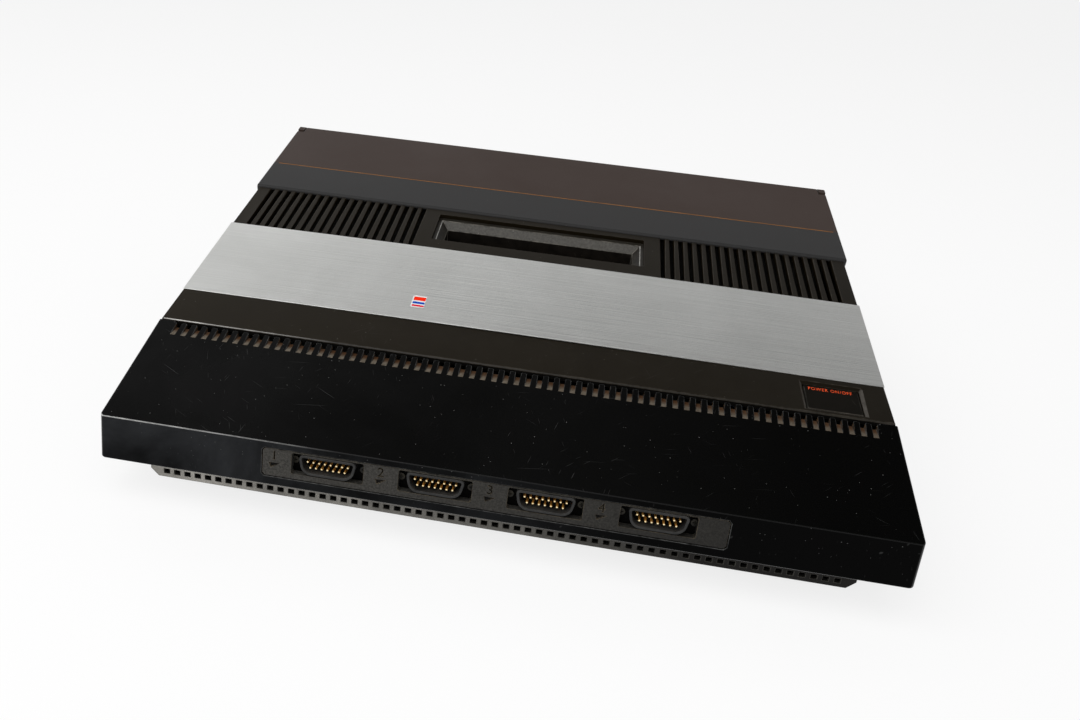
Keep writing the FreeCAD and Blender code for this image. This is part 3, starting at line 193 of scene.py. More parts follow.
class Pick(Enum):
    """What an edit selects: corners, edges or faces."""

    VERTS = (True, False, False)
    EDGES = (False, True, False)
    FACES = (False, False, True)

    def parts(self, mesh: bpy.types.Mesh) -> list[tuple]:
        """The parts of a mesh.

        Args:
            mesh: the mesh.

        Returns:
            Each part with its place, its two ends, or its centre and normal.
        """
        if self is Pick.VERTS:
            return [(corner, (corner.co,)) for corner in mesh.vertices]
        if self is Pick.EDGES:
            return [(edge, [mesh.vertices[end].co for end in edge.vertices]) for edge in mesh.edges]
        return [(face, (face.center, face.normal)) for face in mesh.polygons]


def alone(piece: Piece) -> None:
    """Select one piece and nothing else, and make it the active one.

    Args:
        piece: the piece.
    """
    for other in bpy.context.view_layer.objects:
        other.select_set(False)
    piece.select_set(True)
    bpy.context.view_layer.objects.active = piece


@contextmanager
def shaping(piece: Piece, pick: Pick, wanted: Test | None = None) -> Iterator[None]:
    """Hold a piece in edit mode, with some of its parts selected.

    Args:
        piece: the piece to edit.
        pick: what its selection is made of.
        wanted: a test of the parts to select, or None for all of them.

    Returns:
        A context in which edit operators act on the selected parts.
    """
    mesh = piece.data
    for parts in (mesh.vertices, mesh.edges, mesh.polygons):
        parts.foreach_set("select", [wanted is None] * len(parts))
    if wanted is not None:
        chosen = [part for part, facts in pick.parts(mesh) if wanted(*facts)]
        if not chosen:
            raise ValueError(f"nothing to shape on {piece.name}")
        for part in chosen:
            part.select = True
    alone(piece)
    bpy.context.tool_settings.mesh_select_mode = pick.value
    bpy.ops.object.mode_set(mode="EDIT")
    yield
    bpy.ops.object.mode_set(mode="OBJECT")


def lay(piece: Piece, matrix: Matrix) -> Piece:
    """Move a piece that was made at the origin to its place, and fix the place in its mesh.

    Args:
        piece: the piece.
        matrix: its placement, in metres.

    Returns:
        The same piece.
    """
    alone(piece)
    piece.matrix_world = matrix @ piece.matrix_world
    bpy.ops.object.transform_apply(location=True, rotation=True, scale=True)
    return piece


def started(name: str) -> Piece:
    """Name the new primitive, and fix its size and place in its mesh.

    Args:
        name: name of the piece.

    Returns:
        The new object.
    """
    piece = bpy.context.active_object
    piece.name = piece.data.name = name
    return lay(piece, Matrix.Identity(4))


def block(name: str, size: Triple, centre: Triple = (0, 0, 0)) -> Piece:
    """Start a piece as a block, from its three sides and its middle, in mm."""
    bpy.ops.mesh.primitive_cube_add(size=1, location=Vector(centre) * MM, scale=Vector(size) * MM)
    return started(name)


def drum(name: str, radius: float, depth: float, sides: int, centre: Triple = (0, 0, 0),
         turn: Triple = (0, 0, 0)) -> Piece:
    """Start a piece as a drum that stands along Z.

    Args:
        name: name of the piece.
        radius: its radius, in mm.
        depth: its length, in mm.
        sides: number of sides round it.
        centre: its middle, in mm.
        turn: its turn about each axis, in degrees.

    Returns:
        The new object, with its size and place in its mesh.
    """
    bpy.ops.mesh.primitive_cylinder_add(
        vertices=sides, radius=radius * MM, depth=depth * MM, location=Vector(centre) * MM,
        rotation=[math.radians(angle) for angle in turn])
    return started(name)


def another(piece: Piece, name: str) -> Piece:
    """Copy a piece with its own mesh.

    Args:
        piece: the piece to copy.
        name: name of the copy.

    Returns:
        The new object.
    """
    twin = bpy.data.objects.new(name, piece.data.copy())
    bpy.context.scene.collection.objects.link(twin)
    return twin


def joined(name: str, pieces: Sequence[Piece]) -> Piece:
    """Join pieces into one object.

    Args:
        name: name of the joined piece.
        pieces: the pieces, of which the first takes in the others.

    Returns:
        The joined piece.
    """
    alone(pieces[0])
    for piece in pieces:
        piece.select_set(True)
    bpy.ops.object.join()
    pieces[0].name = pieces[0].data.name = name
    return pieces[0]


def repeated(name: str, first: Piece, places: Sequence[Matrix]) -> Piece:
    """Copy a piece to several places and join the copies.

    Args:
        name: name of the joined piece.
        first: the piece, made at the origin, which is thrown away.
        places: the placement of each copy.

    Returns:
        The joined piece.
    """
    copies = [lay(another(first, f"{first.name}_{count}"), place)
              for count, place in enumerate(places)]
    bpy.data.objects.remove(first)
    return joined(name, copies)


def copied(node: str, name: str) -> Piece:
    """Start a piece from a CAD node's own shape, with its loose triangles made whole faces.

    Args:
        node: name of the CAD node, which is left as it is.
        name: name of the new piece.

    Returns:
        The new object.
    """
    piece = another(frame["nodes"][node], name)
    piece.data.name = name
    piece.data.materials.clear()
    with shaping(piece, Pick.VERTS):
        bpy.ops.mesh.remove_doubles(threshold=0.01 * MM)
        bpy.ops.mesh.dissolve_limited(angle_limit=FLAT_ANGLE)
    return piece


def modify(piece: Piece, kind: str, **settings: object) -> None:
    """Give a piece a modifier and apply it.

    Args:
        piece: the piece, which is left selected.
        kind: the modifier's type.
        settings: its properties by name.
    """
    modifier = piece.modifiers.new(kind, kind)
    for label, value in settings.items():
        setattr(modifier, label, value)
    alone(piece)
    bpy.ops.object.modifier_apply(modifier=modifier.name)


def carve(piece: Piece, tool: Piece) -> None:
    """Cut a tool's shape out of a piece, and throw the tool away."""
    modify(piece, "BOOLEAN", object=tool, operation="DIFFERENCE", solver="EXACT", use_self=True)
    bpy.data.objects.remove(tool)


def round_off(piece: Piece, radius: float, slices: int, wanted: Test) -> None:
    """Round the edges that pass a test, over so many mm and with so many facets."""
    with shaping(piece, Pick.EDGES, wanted):
        bpy.ops.mesh.bevel(offset=radius * MM, segments=slices, affect="EDGES", clamp_overlap=False)


def soften(piece: Piece, width: float, slices: int = 2,
           rim: bpy.types.Material | None = None) -> Piece:
    """Break every sharp edge with a small round and shade the piece smoothly over it.

    Args:
        piece: the piece to finish.
        width: width of the round, in mm.
        slices: facets across the round.
        rim: material of the rounds, or None for that of the faces beside them.

    Returns:
        The same piece.
    """
    index = -1
    # A rim material paints rubbed wear and highlights on the rounds.
    if rim is not None:
        index = len(piece.data.materials)
        piece.data.materials.append(rim)
    modify(piece, "BEVEL", width=width * MM, segments=slices, limit_method="ANGLE",
           angle_limit=SHARP_ANGLE, use_clamp_overlap=False, material=index)
    bpy.ops.object.shade_smooth_by_angle(angle=SMOOTH_ANGLE)
    modify(piece, "WEIGHTED_NORMAL", keep_sharp=True)
    return piece


def lettering(name: str, words: str, height: float, depth: float, spacing: float = 1.0) -> Piece:
    """Make flat letters as a mesh, centred on the origin.

    Args:
        name: name of the piece.
        words: what is written.
        height: size of the type, in mm.
        depth: how thick the letters are on each side of their plane, in mm.
        spacing: room between the letters, 1 for the usual.

    Returns:
        The new object.
    """
    bpy.ops.object.text_add()
    piece = bpy.context.active_object
    piece.name = name
    piece.data.body = words
    piece.data.size = height * MM
    piece.data.extrude = depth * MM
    piece.data.space_character = spacing
    piece.data.align_x = piece.data.align_y = "CENTER"
    alone(piece)
    bpy.ops.object.convert(target="MESH")
    piece = bpy.context.active_object
    with shaping(piece, Pick.VERTS):
        bpy.ops.mesh.remove_doubles(threshold=0.001 * MM)
    return piece


# Finishes

class Effect(Enum):
    """The surface effects that finishes share, each a node group with a title, output and inputs."""

    GRAIN = ("Moulded grain", "Height", {"Scale": 1500.0})
    MOTTLE = ("Mottle", "Value", {"Scale": 20.0, "Low": 0.0, "High": 1.0})
    SCRATCHES = ("Scratches", "Mask", {"Density": 0.5})
    SPECKS = ("Specks", "Mask", {"Scale": 330.0, "Size": 0.075, "Density": 0.05})
    DUST = ("Settled dust", "Mask", {"Scale": 60.0, "Amount": 0.3})
    BRUSHING = ("Brushing", "Value", {"Along": 13.0, "Across": 1100.0})


class Tree:
    """A node tree under construction, of a material, the world or a node group."""

    def __init__(self, tree: bpy.types.NodeTree) -> None:
        """Start on an empty tree."""
        self.tree = tree
        self.tree.nodes.clear()

    def add(self, kind: str, **settings: object) -> bpy.types.Node:
        """Add a node.

        Args:
            kind: its type, without the word ShaderNode.
            settings: its properties by name.

        Returns:
            The new node.
        """
        node = self.tree.nodes.new(kind if kind.startswith("NodeGroup") else "ShaderNode" + kind)
        for label, value in settings.items():
            setattr(node, label, value)
        return node

    def put(self, socket: Socket, value: object) -> None:
        """Link a node's input to an output socket, or set its value.

        Args:
            socket: the input.
            value: the output socket, or the value.
        """
        if isinstance(value, Socket):
            self.tree.links.new(value, socket)
        else:
            socket.default_value = value

    def feed(self, node: bpy.types.Node, **inputs: object) -> bpy.types.Node:
        """Fill a node's inputs.

        Args:
            node: the node.
            inputs: each input's name, with low lines for spaces, and a value or an output socket.

        Returns:
            The same node.
        """
        for label, value in inputs.items():
            self.put(node.inputs[label.replace("_", " ")], value)
        return node

    def sum(self, operation: str, first: object, second: object = 0.0) -> Socket:
        """Work out two numbers with a Math node.

        Args:
            operation: what the node does.
            first: a number or a socket.
            second: a number or a socket.

        Returns:
            The result.
        """
        node = self.add("Math", operation=operation)
        for socket, value in zip(node.inputs, (first, second)):
            self.put(socket, value)
        return node.outputs[0]

    def ramp(self, value: Socket, low: float, high: float, start: object = 0.0,
             end: object = 1.0) -> Socket:
        """Map a value from one range to another, held at the ends.

        Args:
            value: the socket to map.
            low: value at the start.
            high: value at the end.
            start: result at the start.
            end: result at the end.

        Returns:
            The mapped value.
        """
        return self.feed(self.add("MapRange"), Value=value, From_Min=low, From_Max=high,
                         To_Min=start, To_Max=end).outputs["Result"]

    def blend(self, share: Socket, first: object, second: object) -> Socket:
        """Mix two colours by a mask.

        Args:
            share: the mask, 0 for the first colour and 1 for the second.
            first: a colour or a socket.
            second: a colour or a socket.

        Returns:
            The mixed colour.
        """
        node = self.add("Mix", data_type="RGBA")
        for index, value in ((0, share), (6, first), (7, second)):
            self.put(node.inputs[index], (*value, 1.0) if isinstance(value, tuple) else value)
        return node.outputs[2]

    def noise(self, place: Socket, **settings: object) -> Socket:
        """Place a noise texture and give its value."""
        return self.feed(self.add("TexNoise"), Vector=place, **settings).outputs[0]

    def parts(self, vector: Socket) -> Sequence[Socket]:
        """The X, Y and Z of a vector."""
        return self.feed(self.add("SeparateXYZ"), Vector=vector).outputs


class EffectGroup(Tree):
    """The node group of one effect, which every material that has the effect shares."""

    directions: Sequence[float] = (0.15, 0.7, 1.3, 1.95, 2.65)
    hairline: Triple = (1 / 42, 1 / 2300, 1 / 420)
    hairline_limit: float = 0.875

    def __init__(self, effect: Effect) -> None:
        """Build the group, with its sockets and its nodes.

        Args:
            effect: the effect, whose name in lower case is the method that makes it.
        """
        title, output, inputs = effect.value
        group = bpy.data.node_groups.new(title, "ShaderNodeTree")
        face = group.interface
        face.new_socket("Vector", in_out="INPUT", socket_type="NodeSocketVector")
        for label, value in inputs.items():
            socket = face.new_socket(label, in_out="INPUT", socket_type="NodeSocketFloat")
            socket.default_value = value
        face.new_socket(output, in_out="OUTPUT", socket_type="NodeSocketFloat")
        super().__init__(group)
        self.give = self.add("NodeGroupInput").outputs
        take = self.add("NodeGroupOutput")
        self.put(take.inputs[0], getattr(self, effect.name.lower())())

    @classmethod
    def get(cls, effect: Effect) -> bpy.types.NodeTree:
        """The group of an effect, built when it is first asked for."""
        return bpy.data.node_groups.get(effect.value[0]) or cls(effect).tree

    def grain(self) -> Socket:
        """Fine pits of a moulded surface."""
        return self.noise(self.give["Vector"], Scale=self.give["Scale"], Detail=2.0)

    def mottle(self) -> Socket:
        """Broad uneven patches, as handling and age leave; where a finish fades them out to the right,
        they also paint light.
        """
        value = self.noise(self.give["Vector"], Scale=self.give["Scale"], Detail=5.0,
                           Roughness=0.6, Distortion=0.4)
        return self.ramp(value, 0.35, 0.68, self.give["Low"], self.give["High"])

    def scratches(self) -> Socket:
        """Short hairlines in several directions, gathered in patches.

        Returns:
            The mask of the scratches.
        """
        place = self.give["Vector"]
        eased = self.sum("MULTIPLY", self.give["Density"], 0.14)
        limit = self.sum("SUBTRACT", self.hairline_limit, eased)
        total = None
        for step, angle in enumerate(self.directions):
            turned = self.feed(self.add("Mapping", vector_type="TEXTURE"), Vector=place,
                               Rotation=(0.0, 0.0, angle), Scale=self.hairline,
                               Location=(0.31 * step, 0.17 * step, 0.0))
            lines = self.noise(turned.outputs[0], Scale=1.0, Detail=0.0, Distortion=0.12)
            line = self.ramp(self.sum("SUBTRACT", lines, limit), 0.0, 0.05)
            patch = self.noise(place, Scale=13.0 + 3.0 * step, Detail=1.0)
            piece = self.sum("MULTIPLY", line, self.ramp(patch, 0.46, 0.6))
            total = piece if total is None else self.sum("MAXIMUM", total, piece)
        return total

    def specks(self) -> Socket:
        """Small scattered grains of dust.

        Returns:
            The mask of the grains.
        """
        cells = self.feed(self.add("TexVoronoi"), Vector=self.give["Vector"],
                          Scale=self.give["Scale"])
        chances = self.feed(self.add("SeparateColor"), Color=cells.outputs["Color"]).outputs
        kept = self.sum("LESS_THAN", chances[0], self.give["Density"])
        radius = self.sum("MULTIPLY", self.give["Size"], chances[1])
        inside = self.sum("LESS_THAN", cells.outputs["Distance"], radius)
        return self.sum("MULTIPLY", kept, inside)

    def dust(self) -> Socket:
        """Dust that lies thicker on what faces up.

        Returns:
            The mask of the dust.
        """
        normal = self.add("NewGeometry").outputs["Normal"]
        upward = self.ramp(self.parts(normal)["Z"], 0.1, 0.9, 0.25, 1.0)
        value = self.noise(self.give["Vector"], Scale=self.give["Scale"], Detail=6.0,
                           Roughness=0.7)
        patches = self.ramp(value, 0.3, 0.75)
        return self.sum("MULTIPLY", self.sum("MULTIPLY", upward, patches), self.give["Amount"])

    def brushing(self) -> Socket:
        """Fine streaks that run along X.

        Returns:
            The brightness of the streaks.
        """
        along, across = self.give["Along"], self.give["Across"]
        scale = self.feed(self.add("CombineXYZ"), X=along, Y=across, Z=across)
        stretched = self.add("VectorMath", operation="MULTIPLY")
        self.put(stretched.inputs[0], self.give["Vector"])
        self.put(stretched.inputs[1], scale.outputs[0])
        value = self.noise(stretched.outputs[0], Scale=1.0, Detail=4.0, Roughness=0.65)
        return self.ramp(value, 0.34, 0.66)


@dataclass(frozen=True)
class Finish:
    """A surface finish, from which one material is made.

    Attributes:
        name: name of the material.
        colour: its main colour.
        second: the colour that it is mottled with.
        rough: roughness where it is smoothest.
        rough_end: roughness where it is dullest.
        mottle: scale of its patches.
        metal: 1 for bare metal.
        specular: strength of its plain reflection.
        grain: scale of its pits, or 0 for none.
        grain_depth: how strong the pits are.
        scratches: how many scratches it has, from 0 to 1.
        specks: share of small cells that hold a grain of dust.
        dust: how thick dust lies on it.
        dust_colour: colour of the dust.
        scratch_colour: colour of the scratches.
        brushed: whether it is brushed along X.
        worn: the colour that its edges are rubbed to in places, which also paints highlights along
            them.
        split: Y in mm behind which the rear colour holds, or None.
        split_over: length over which it changes, in mm.
        rear: colour behind the split.
        fade: X in mm from which the second colour thins out, and where it ends, or None.
        least: smallest share of the second colour.
    """

    name: str
    colour: Colour
    second: Colour
    rough: float
    rough_end: float
    mottle: float = 24.0
    metal: float = 0.0
    specular: float = 0.5
    grain: float = 0.0
    grain_depth: float = 0.1
    scratches: float = 0.0
    specks: float = 0.0
    dust: float = 0.0
    dust_colour: Colour = (0.16, 0.15, 0.13)
    scratch_colour: Colour = (0.10, 0.10, 0.10)
    brushed: bool = False
    worn: Colour = (0.0, 0.0, 0.0)
    split: float | None = None
    split_over: float = 0.3
    rear: Colour = (0.0, 0.0, 0.0)
    fade: Pair | None = None
    least: float = 0.0

    def material(self) -> bpy.types.Material:
        """The material, made when it is first asked for."""
        return bpy.data.materials.get(self.name) or self.make()

    def rim(self) -> bpy.types.Material:
        """The material of its edges, paler in places: rubbed wear with painted highlights."""
        return replace(self, name=f"{self.name} rim", second=self.worn, mottle=260.0, least=0.1,
                       scratches=0.0, specks=0.0, dust=0.0, split=None, fade=None).material()

    def make(self) -> bpy.types.Material:
        """Build the node tree of the material.

        Returns:
            The new material.
        """
        material = bpy.data.materials.new(self.name)
        material.use_nodes = True
        tree = Tree(material.node_tree)
        place = tree.add("TexCoord").outputs["Object"]
        shader = tree.feed(tree.add("BsdfPrincipled"), Metallic=self.metal,
                           Specular_IOR_Level=self.specular)
        axes = tree.parts(place)
        patches = self.effect(tree, Effect.MOTTLE, place, Scale=self.mottle, Low=self.least)
        if self.fade is not None:
            start, end = self.fade
            kept = tree.ramp(axes["X"], start * MM, end * MM, 1.0, 0.0)
            patches = tree.sum("MULTIPLY", patches, kept)
        colour = tree.blend(patches, self.colour, self.second)
        if self.split is not None:
            behind = tree.ramp(axes["Y"], self.split * MM, (self.split + self.split_over) * MM)
            colour = tree.blend(behind, colour, self.rear)
        rough = tree.ramp(patches, 0.0, 1.0, self.rough, self.rough_end)
        height = None
        if self.grain:
            height = self.effect(tree, Effect.GRAIN, place, Scale=self.grain)
        if self.brushed:
            height = self.effect(tree, Effect.BRUSHING, place)
            colour = tree.blend(tree.ramp(height, 0.0, 1.0, 0.0, 0.6), colour, self.second)
        for effect, label, amount, over, share, dulling in (
                (Effect.SCRATCHES, "Density", self.scratches, self.scratch_colour, 0.19, 0.3),
                (Effect.DUST, "Amount", self.dust, self.dust_colour, 1.0, 0.5),
                (Effect.SPECKS, "Density", self.specks, self.dust_colour, 1.0, 0.5)):
            if amount:
                mask = self.effect(tree, effect, place, **{label: amount})
                shown = mask if share == 1.0 else tree.sum("MULTIPLY", mask, share)
                colour = tree.blend(shown, colour, over)
                rough = tree.sum("ADD", rough, tree.sum("MULTIPLY", mask, dulling))
        tree.feed(shader, Base_Color=colour, Roughness=rough)
        if height is not None:
            bump = tree.feed(tree.add("Bump"), Strength=self.grain_depth, Distance=0.0001,
                             Height=height)
            tree.feed(shader, Normal=bump.outputs[0])
        tree.feed(tree.add("OutputMaterial"), Surface=shader.outputs[0])
        return material

    @staticmethod
    def effect(tree: Tree, effect: Effect, place: Socket, **values: float) -> Socket:
        """Place a shared effect in the material and give its output."""
        node = tree.add("Group", node_tree=EffectGroup.get(effect))
        return tree.feed(node, Vector=place, **values).outputs[0]


# Painted sheen: the paler patches thin out towards the right, painting the light on the left of the
# shell over its own blotches, scratches and specks.
GLOSS_BLACK = Finish(
    "gloss black shell", (0.0020, 0.0020, 0.0019), (0.0082, 0.0082, 0.0082), 0.11, 0.17, mottle=12,
    specular=0.15, scratches=0.36, specks=1.0, dust_colour=(0.11, 0.11, 0.105), grain=700,
    grain_depth=0.01, fade=(-190.0, 150.0), least=0.35, worn=(0.07, 0.07, 0.068))
# Painted reflection: the pale bluish patches thin out towards the right, painting the floor's
# reflection on the left of the front face along with smudges.
GLOSS_FACE = Finish(
    "gloss black face", (0.0015, 0.0015, 0.0015), (0.0290, 0.0305, 0.0330), 0.14, 0.3, mottle=22,
    specular=0.02, scratches=0.25, specks=0.8, dust_colour=(0.09, 0.09, 0.09),
    scratch_colour=(0.11, 0.11, 0.11), fade=(-190.0, 70.0), least=0.12)
# Painted highlight with some wear: a pale line on the round of the front top edge, bright at the left
# and fading out to the right.
GLOSS_EDGE = Finish(
    "worn gloss edge with painted highlight", (0.008, 0.008, 0.008), (0.50, 0.50, 0.49), 0.22, 0.35, mottle=150, specular=0.12,
    fade=(-175.0, -75.0), least=0.5)
# Beige dust on the slot floors, darker orange-brown towards the rear; the paler dust thins out towards
# the right, which paints light falling from the left.
SLOT_FLOOR = Finish(
    "dusty slot floor with painted light", (0.050, 0.038, 0.026), (0.165, 0.146, 0.118), 0.8, 0.95, mottle=700,
    specular=0.1, grain=1500, grain_depth=0.5, split=-99.4, split_over=3.2, rear=(0.050, 0.021, 0.008),
    fade=(-190.0, 420.0), least=0.25, dust=0.22, dust_colour=(0.16, 0.12, 0.08))
# Painted highlight: the rounded rib ends are paler, painting the light outline that they catch.
RIB_END = Finish(
    "rib end painted highlight", (0.006, 0.006, 0.006), (0.06, 0.058, 0.054), 0.25, 0.4, mottle=420, specular=0.35,
    least=0.25)
SLOT_WALL = Finish(
    "dusty slot wall", (0.008, 0.005, 0.003), (0.11, 0.060, 0.028), 0.6, 0.85, mottle=300,
    specular=0.15, grain=1500, grain_depth=0.4)
# Painted shadow: near-black for faces that lie in shade, on the strip's lip face and on the ports'
# flanges and backs.
SHADOW = Finish(
    "painted shadow black", (0.0018, 0.0016, 0.0014), (0.003, 0.0026, 0.002), 0.7, 0.9, mottle=90,
    specular=0.06)
# Painted light: the paler patches thin out towards the right, so the strip darkens as the light falls
# off; its scratches, specks and dust are its own.
SATIN_BROWN = Finish(
    "satin brown black", (0.0054, 0.0036, 0.0012), (0.0124, 0.0091, 0.0047), 0.33, 0.42, specular=0.07,
    grain=2600, grain_depth=0.12, scratches=0.35, specks=0.4, dust_colour=(0.12, 0.115, 0.10),
    dust=0.02, scratch_colour=(0.12, 0.115, 0.105), fade=(-190.0, 230.0), least=0.65,
    worn=(0.045, 0.038, 0.030))
# Painted highlight with some wear: a pale line on the chamfer of the strip's lip, bright at the left
# and fading out to the right.
SATIN_EDGE = Finish(
    "worn satin edge with painted highlight", (0.018, 0.016, 0.013), (0.60, 0.59, 0.56), 0.32, 0.45, mottle=160, specular=0.25,
    fade=(-180.0, -95.0), least=0.5)
# Rubbed wear with a painted highlight: paler bevels round the power button and along its cap's front
# edge.
SATIN_BEVEL = Finish(
    "rubbed satin bevel", (0.024, 0.020, 0.015), (0.060, 0.053, 0.044), 0.34, 0.5, mottle=200,
    specular=0.25)
LID_SLATE = Finish(
    "slate and brown lid", (0.0235, 0.023, 0.023), (0.0275, 0.027, 0.027), 0.44, 0.52, mottle=14,
    specular=0.15, grain=2600, grain_depth=0.12, specks=0.3, dust_colour=(0.13, 0.125, 0.12),
    split=98.1, rear=(0.038, 0.0245, 0.0195), worn=(0.045, 0.043, 0.042))
LID_INSIDE = Finish(
    "lid underside", (0.0125, 0.0110, 0.0092), (0.0165, 0.0145, 0.0120), 0.5, 0.62, mottle=18,
    specular=0.15, grain=2000, grain_depth=0.15)
STRIPE_INK = Finish(
    "amber stripe", (0.26, 0.105, 0.022), (0.19, 0.075, 0.016), 0.5, 0.6, mottle=120, specular=0.12)
BRUSHED_METAL = Finish(
    "brushed metal band", (0.87, 0.875, 0.855), (0.70, 0.705, 0.685), 0.30, 0.33, mottle=14, metal=1.0,
    brushed=True, grain_depth=0.35, scratches=0.4, specks=0.3, dust_colour=(0.9, 0.9, 0.88),
    scratch_colour=(1.0, 1.0, 0.98), least=0.35)
PLATE_GREY = Finish(
    "matte port plate", (0.004, 0.0038, 0.0033), (0.066, 0.063, 0.057), 0.62, 0.78, mottle=1100,
    specular=0.15, grain=1500, grain_depth=0.9, dust=0.10, specks=0.6, dust_colour=(0.15, 0.13, 0.10),
    fade=(-110.0, 196.0), least=0.3, worn=(0.13, 0.105, 0.07))
MARK = Finish(
    "shaded mark", (0.006, 0.006, 0.0057), (0.011, 0.0105, 0.010), 0.8, 0.9, mottle=150, specular=0.05)
PORT_BLACK = Finish(
    "port black", (0.009, 0.009, 0.0095), (0.022, 0.022, 0.022), 0.34, 0.5, mottle=420, specular=0.25,
    grain=1500, grain_depth=0.5, dust=0.25)
GILT = Finish("gilt contacts", (0.95, 0.50, 0.11), (0.8, 0.38, 0.07), 0.25, 0.4, mottle=180, metal=0.6)
GILT_TIP = Finish(
    "worn gilt tips", (0.96, 0.82, 0.52), (0.9, 0.7, 0.38), 0.3, 0.4, mottle=300, metal=1.0)
STEEL = Finish("plated steel", (0.55, 0.54, 0.52), (0.4, 0.39, 0.37), 0.3, 0.5, mottle=300, metal=1.0)
DARK_STEEL = Finish(
    "blackened steel", (0.02, 0.02, 0.02), (0.05, 0.045, 0.035), 0.4, 0.6, mottle=300, metal=1.0)
SPRING = Finish("spring steel", (0.45, 0.45, 0.46), (0.35, 0.35, 0.36), 0.3, 0.4, mottle=300, metal=1.0)
TIN = Finish("tin plate", (0.62, 0.62, 0.6), (0.45, 0.45, 0.44), 0.35, 0.55, mottle=40, metal=1.0)
# Painted shade: the tin screen is darkened to near black, standing for the shade seen through the vent
# slots.
SCREEN = Finish(
    "tin screen in painted shade", (0.012, 0.012, 0.011), (0.020, 0.019, 0.018), 0.5, 0.65, mottle=60, metal=0.5,
    specular=0.3)
SINK = Finish("plain metal sink", (0.6, 0.6, 0.6), (0.5, 0.5, 0.5), 0.4, 0.5, mottle=60, metal=1.0)
BOARD = Finish(
    "circuit board", (0.006, 0.026, 0.012), (0.009, 0.036, 0.017), 0.4, 0.55, mottle=150, specular=0.3,
    grain=500, grain_depth=0.2)
RIBBON = Finish("dark ribbon", (0.030, 0.030, 0.032), (0.040, 0.040, 0.042), 0.5, 0.6, mottle=80)
COMPONENT = Finish(
    "component black", (0.013, 0.013, 0.014), (0.02, 0.02, 0.02), 0.5, 0.65, mottle=180, grain=2500,
    grain_depth=0.3)
SLEEVE = Finish("capacitor sleeve", (0.02, 0.04, 0.16), (0.015, 0.03, 0.12), 0.3, 0.4, mottle=90)
WELL = Finish(
    "slot moulding", (0.0085, 0.0075, 0.0055), (0.014, 0.012, 0.009), 0.36, 0.48, mottle=70,
    specular=0.3, grain=1400, grain_depth=0.4, dust=0.12, specks=0.4, dust_colour=(0.13, 0.12, 0.10),
    worn=(0.14, 0.13, 0.11))
# Painted shade: a darker copy of the slot moulding on the throat's walls, with its own scratches and
# specks.
WELL_DARK = Finish(
    "scuffed slot throat in painted shade", (0.0030, 0.0023, 0.0016), (0.0085, 0.0064, 0.0045), 0.5, 0.7, mottle=160,
    specular=0.12, scratches=0.5, specks=0.8, dust_colour=(0.10, 0.09, 0.07),
    scratch_colour=(0.11, 0.10, 0.08))
# Painted highlight: pale lines on the rounds at the funnel's two ends.
WELL_EDGE = Finish(
    "slot edge painted highlight", (0.10, 0.095, 0.085), (0.50, 0.49, 0.47), 0.35, 0.5, mottle=260, specular=0.3,
    least=0.4)
# Painted shade: a darker copy of the slot moulding on the funnel's end slopes, with specks of dust.
WELL_SIDE = Finish(
    "slot side in painted shade", (0.006, 0.005, 0.004), (0.028, 0.025, 0.020), 0.4, 0.55, mottle=330, specular=0.2,
    grain=1400, grain_depth=0.4, specks=0.4, dust_colour=(0.13, 0.12, 0.10))
# Painted light: a paler, lit copy of the slot moulding on the rear slope that faces the lamps, with
# pale specks of dust.
WELL_SLOPE = Finish(
    "dusty slot slope with painted light", (0.040, 0.037, 0.031), (0.085, 0.080, 0.070), 0.5, 0.65, mottle=700,
    specular=0.4, grain=1100, grain_depth=0.9, specks=0.9, dust_colour=(0.30, 0.29, 0.26))
BIN = Finish(
    "bin plastic", (0.012, 0.011, 0.01), (0.017, 0.015, 0.013), 0.45, 0.6, mottle=18, grain=2000,
    grain_depth=0.2, dust=0.1)
TRAY = Finish(
    "tray plastic", (0.016, 0.015, 0.0135), (0.021, 0.0195, 0.017), 0.5, 0.7, mottle=60, specular=0.25,
    grain=1800, grain_depth=0.3, dust=0.05, worn=(0.07, 0.065, 0.055))
# Painted reflection: the pale patches thin out towards the right, painting the floor's reflection on
# the left of the tray's front.
TRAY_FACE = Finish(
    "tray face with painted reflection", (0.011, 0.010, 0.009), (0.48, 0.46, 0.42), 0.6, 0.8, mottle=70, specular=0.12,
    grain=1800, grain_depth=0.3, fade=(-175.0, 100.0), least=0.55)
BUTTON = Finish(
    "button plastic", (0.0026, 0.0019, 0.0009), (0.004, 0.003, 0.0016), 0.33, 0.42, mottle=50,
    specular=0.05, grain=2600, grain_depth=0.12, scratches=0.4, specks=0.5,
    dust_colour=(0.12, 0.115, 0.10), scratch_colour=(0.13, 0.12, 0.11), worn=(0.030, 0.028, 0.024))
RUBBER = Finish(
    "black rubber", (0.014, 0.014, 0.014), (0.022, 0.021, 0.02), 0.75, 0.9, mottle=150, grain=1500,
    grain_depth=0.3)
RED_INK = Finish(
    "red legend ink", (0.88, 0.10, 0.025), (0.75, 0.08, 0.02), 0.5, 0.6, mottle=300, specular=0.1)
LABEL_WHITE = Finish(
    "label white", (0.80, 0.80, 0.79), (0.74, 0.74, 0.73), 0.4, 0.5, mottle=300, specular=0.1)
LABEL_RED = Finish(
    "label orange red", (0.90, 0.024, 0.003), (0.82, 0.022, 0.003), 0.4, 0.5, mottle=300, specular=0.03)
LABEL_CRIMSON = Finish(
    "label crimson", (0.72, 0.008, 0.032), (0.65, 0.007, 0.03), 0.4, 0.5, mottle=300, specular=0.03)
LABEL_BLUE = Finish(
    "label blue", (0.001, 0.07, 0.48), (0.001, 0.065, 0.42), 0.4, 0.5, mottle=300, specular=0.03)


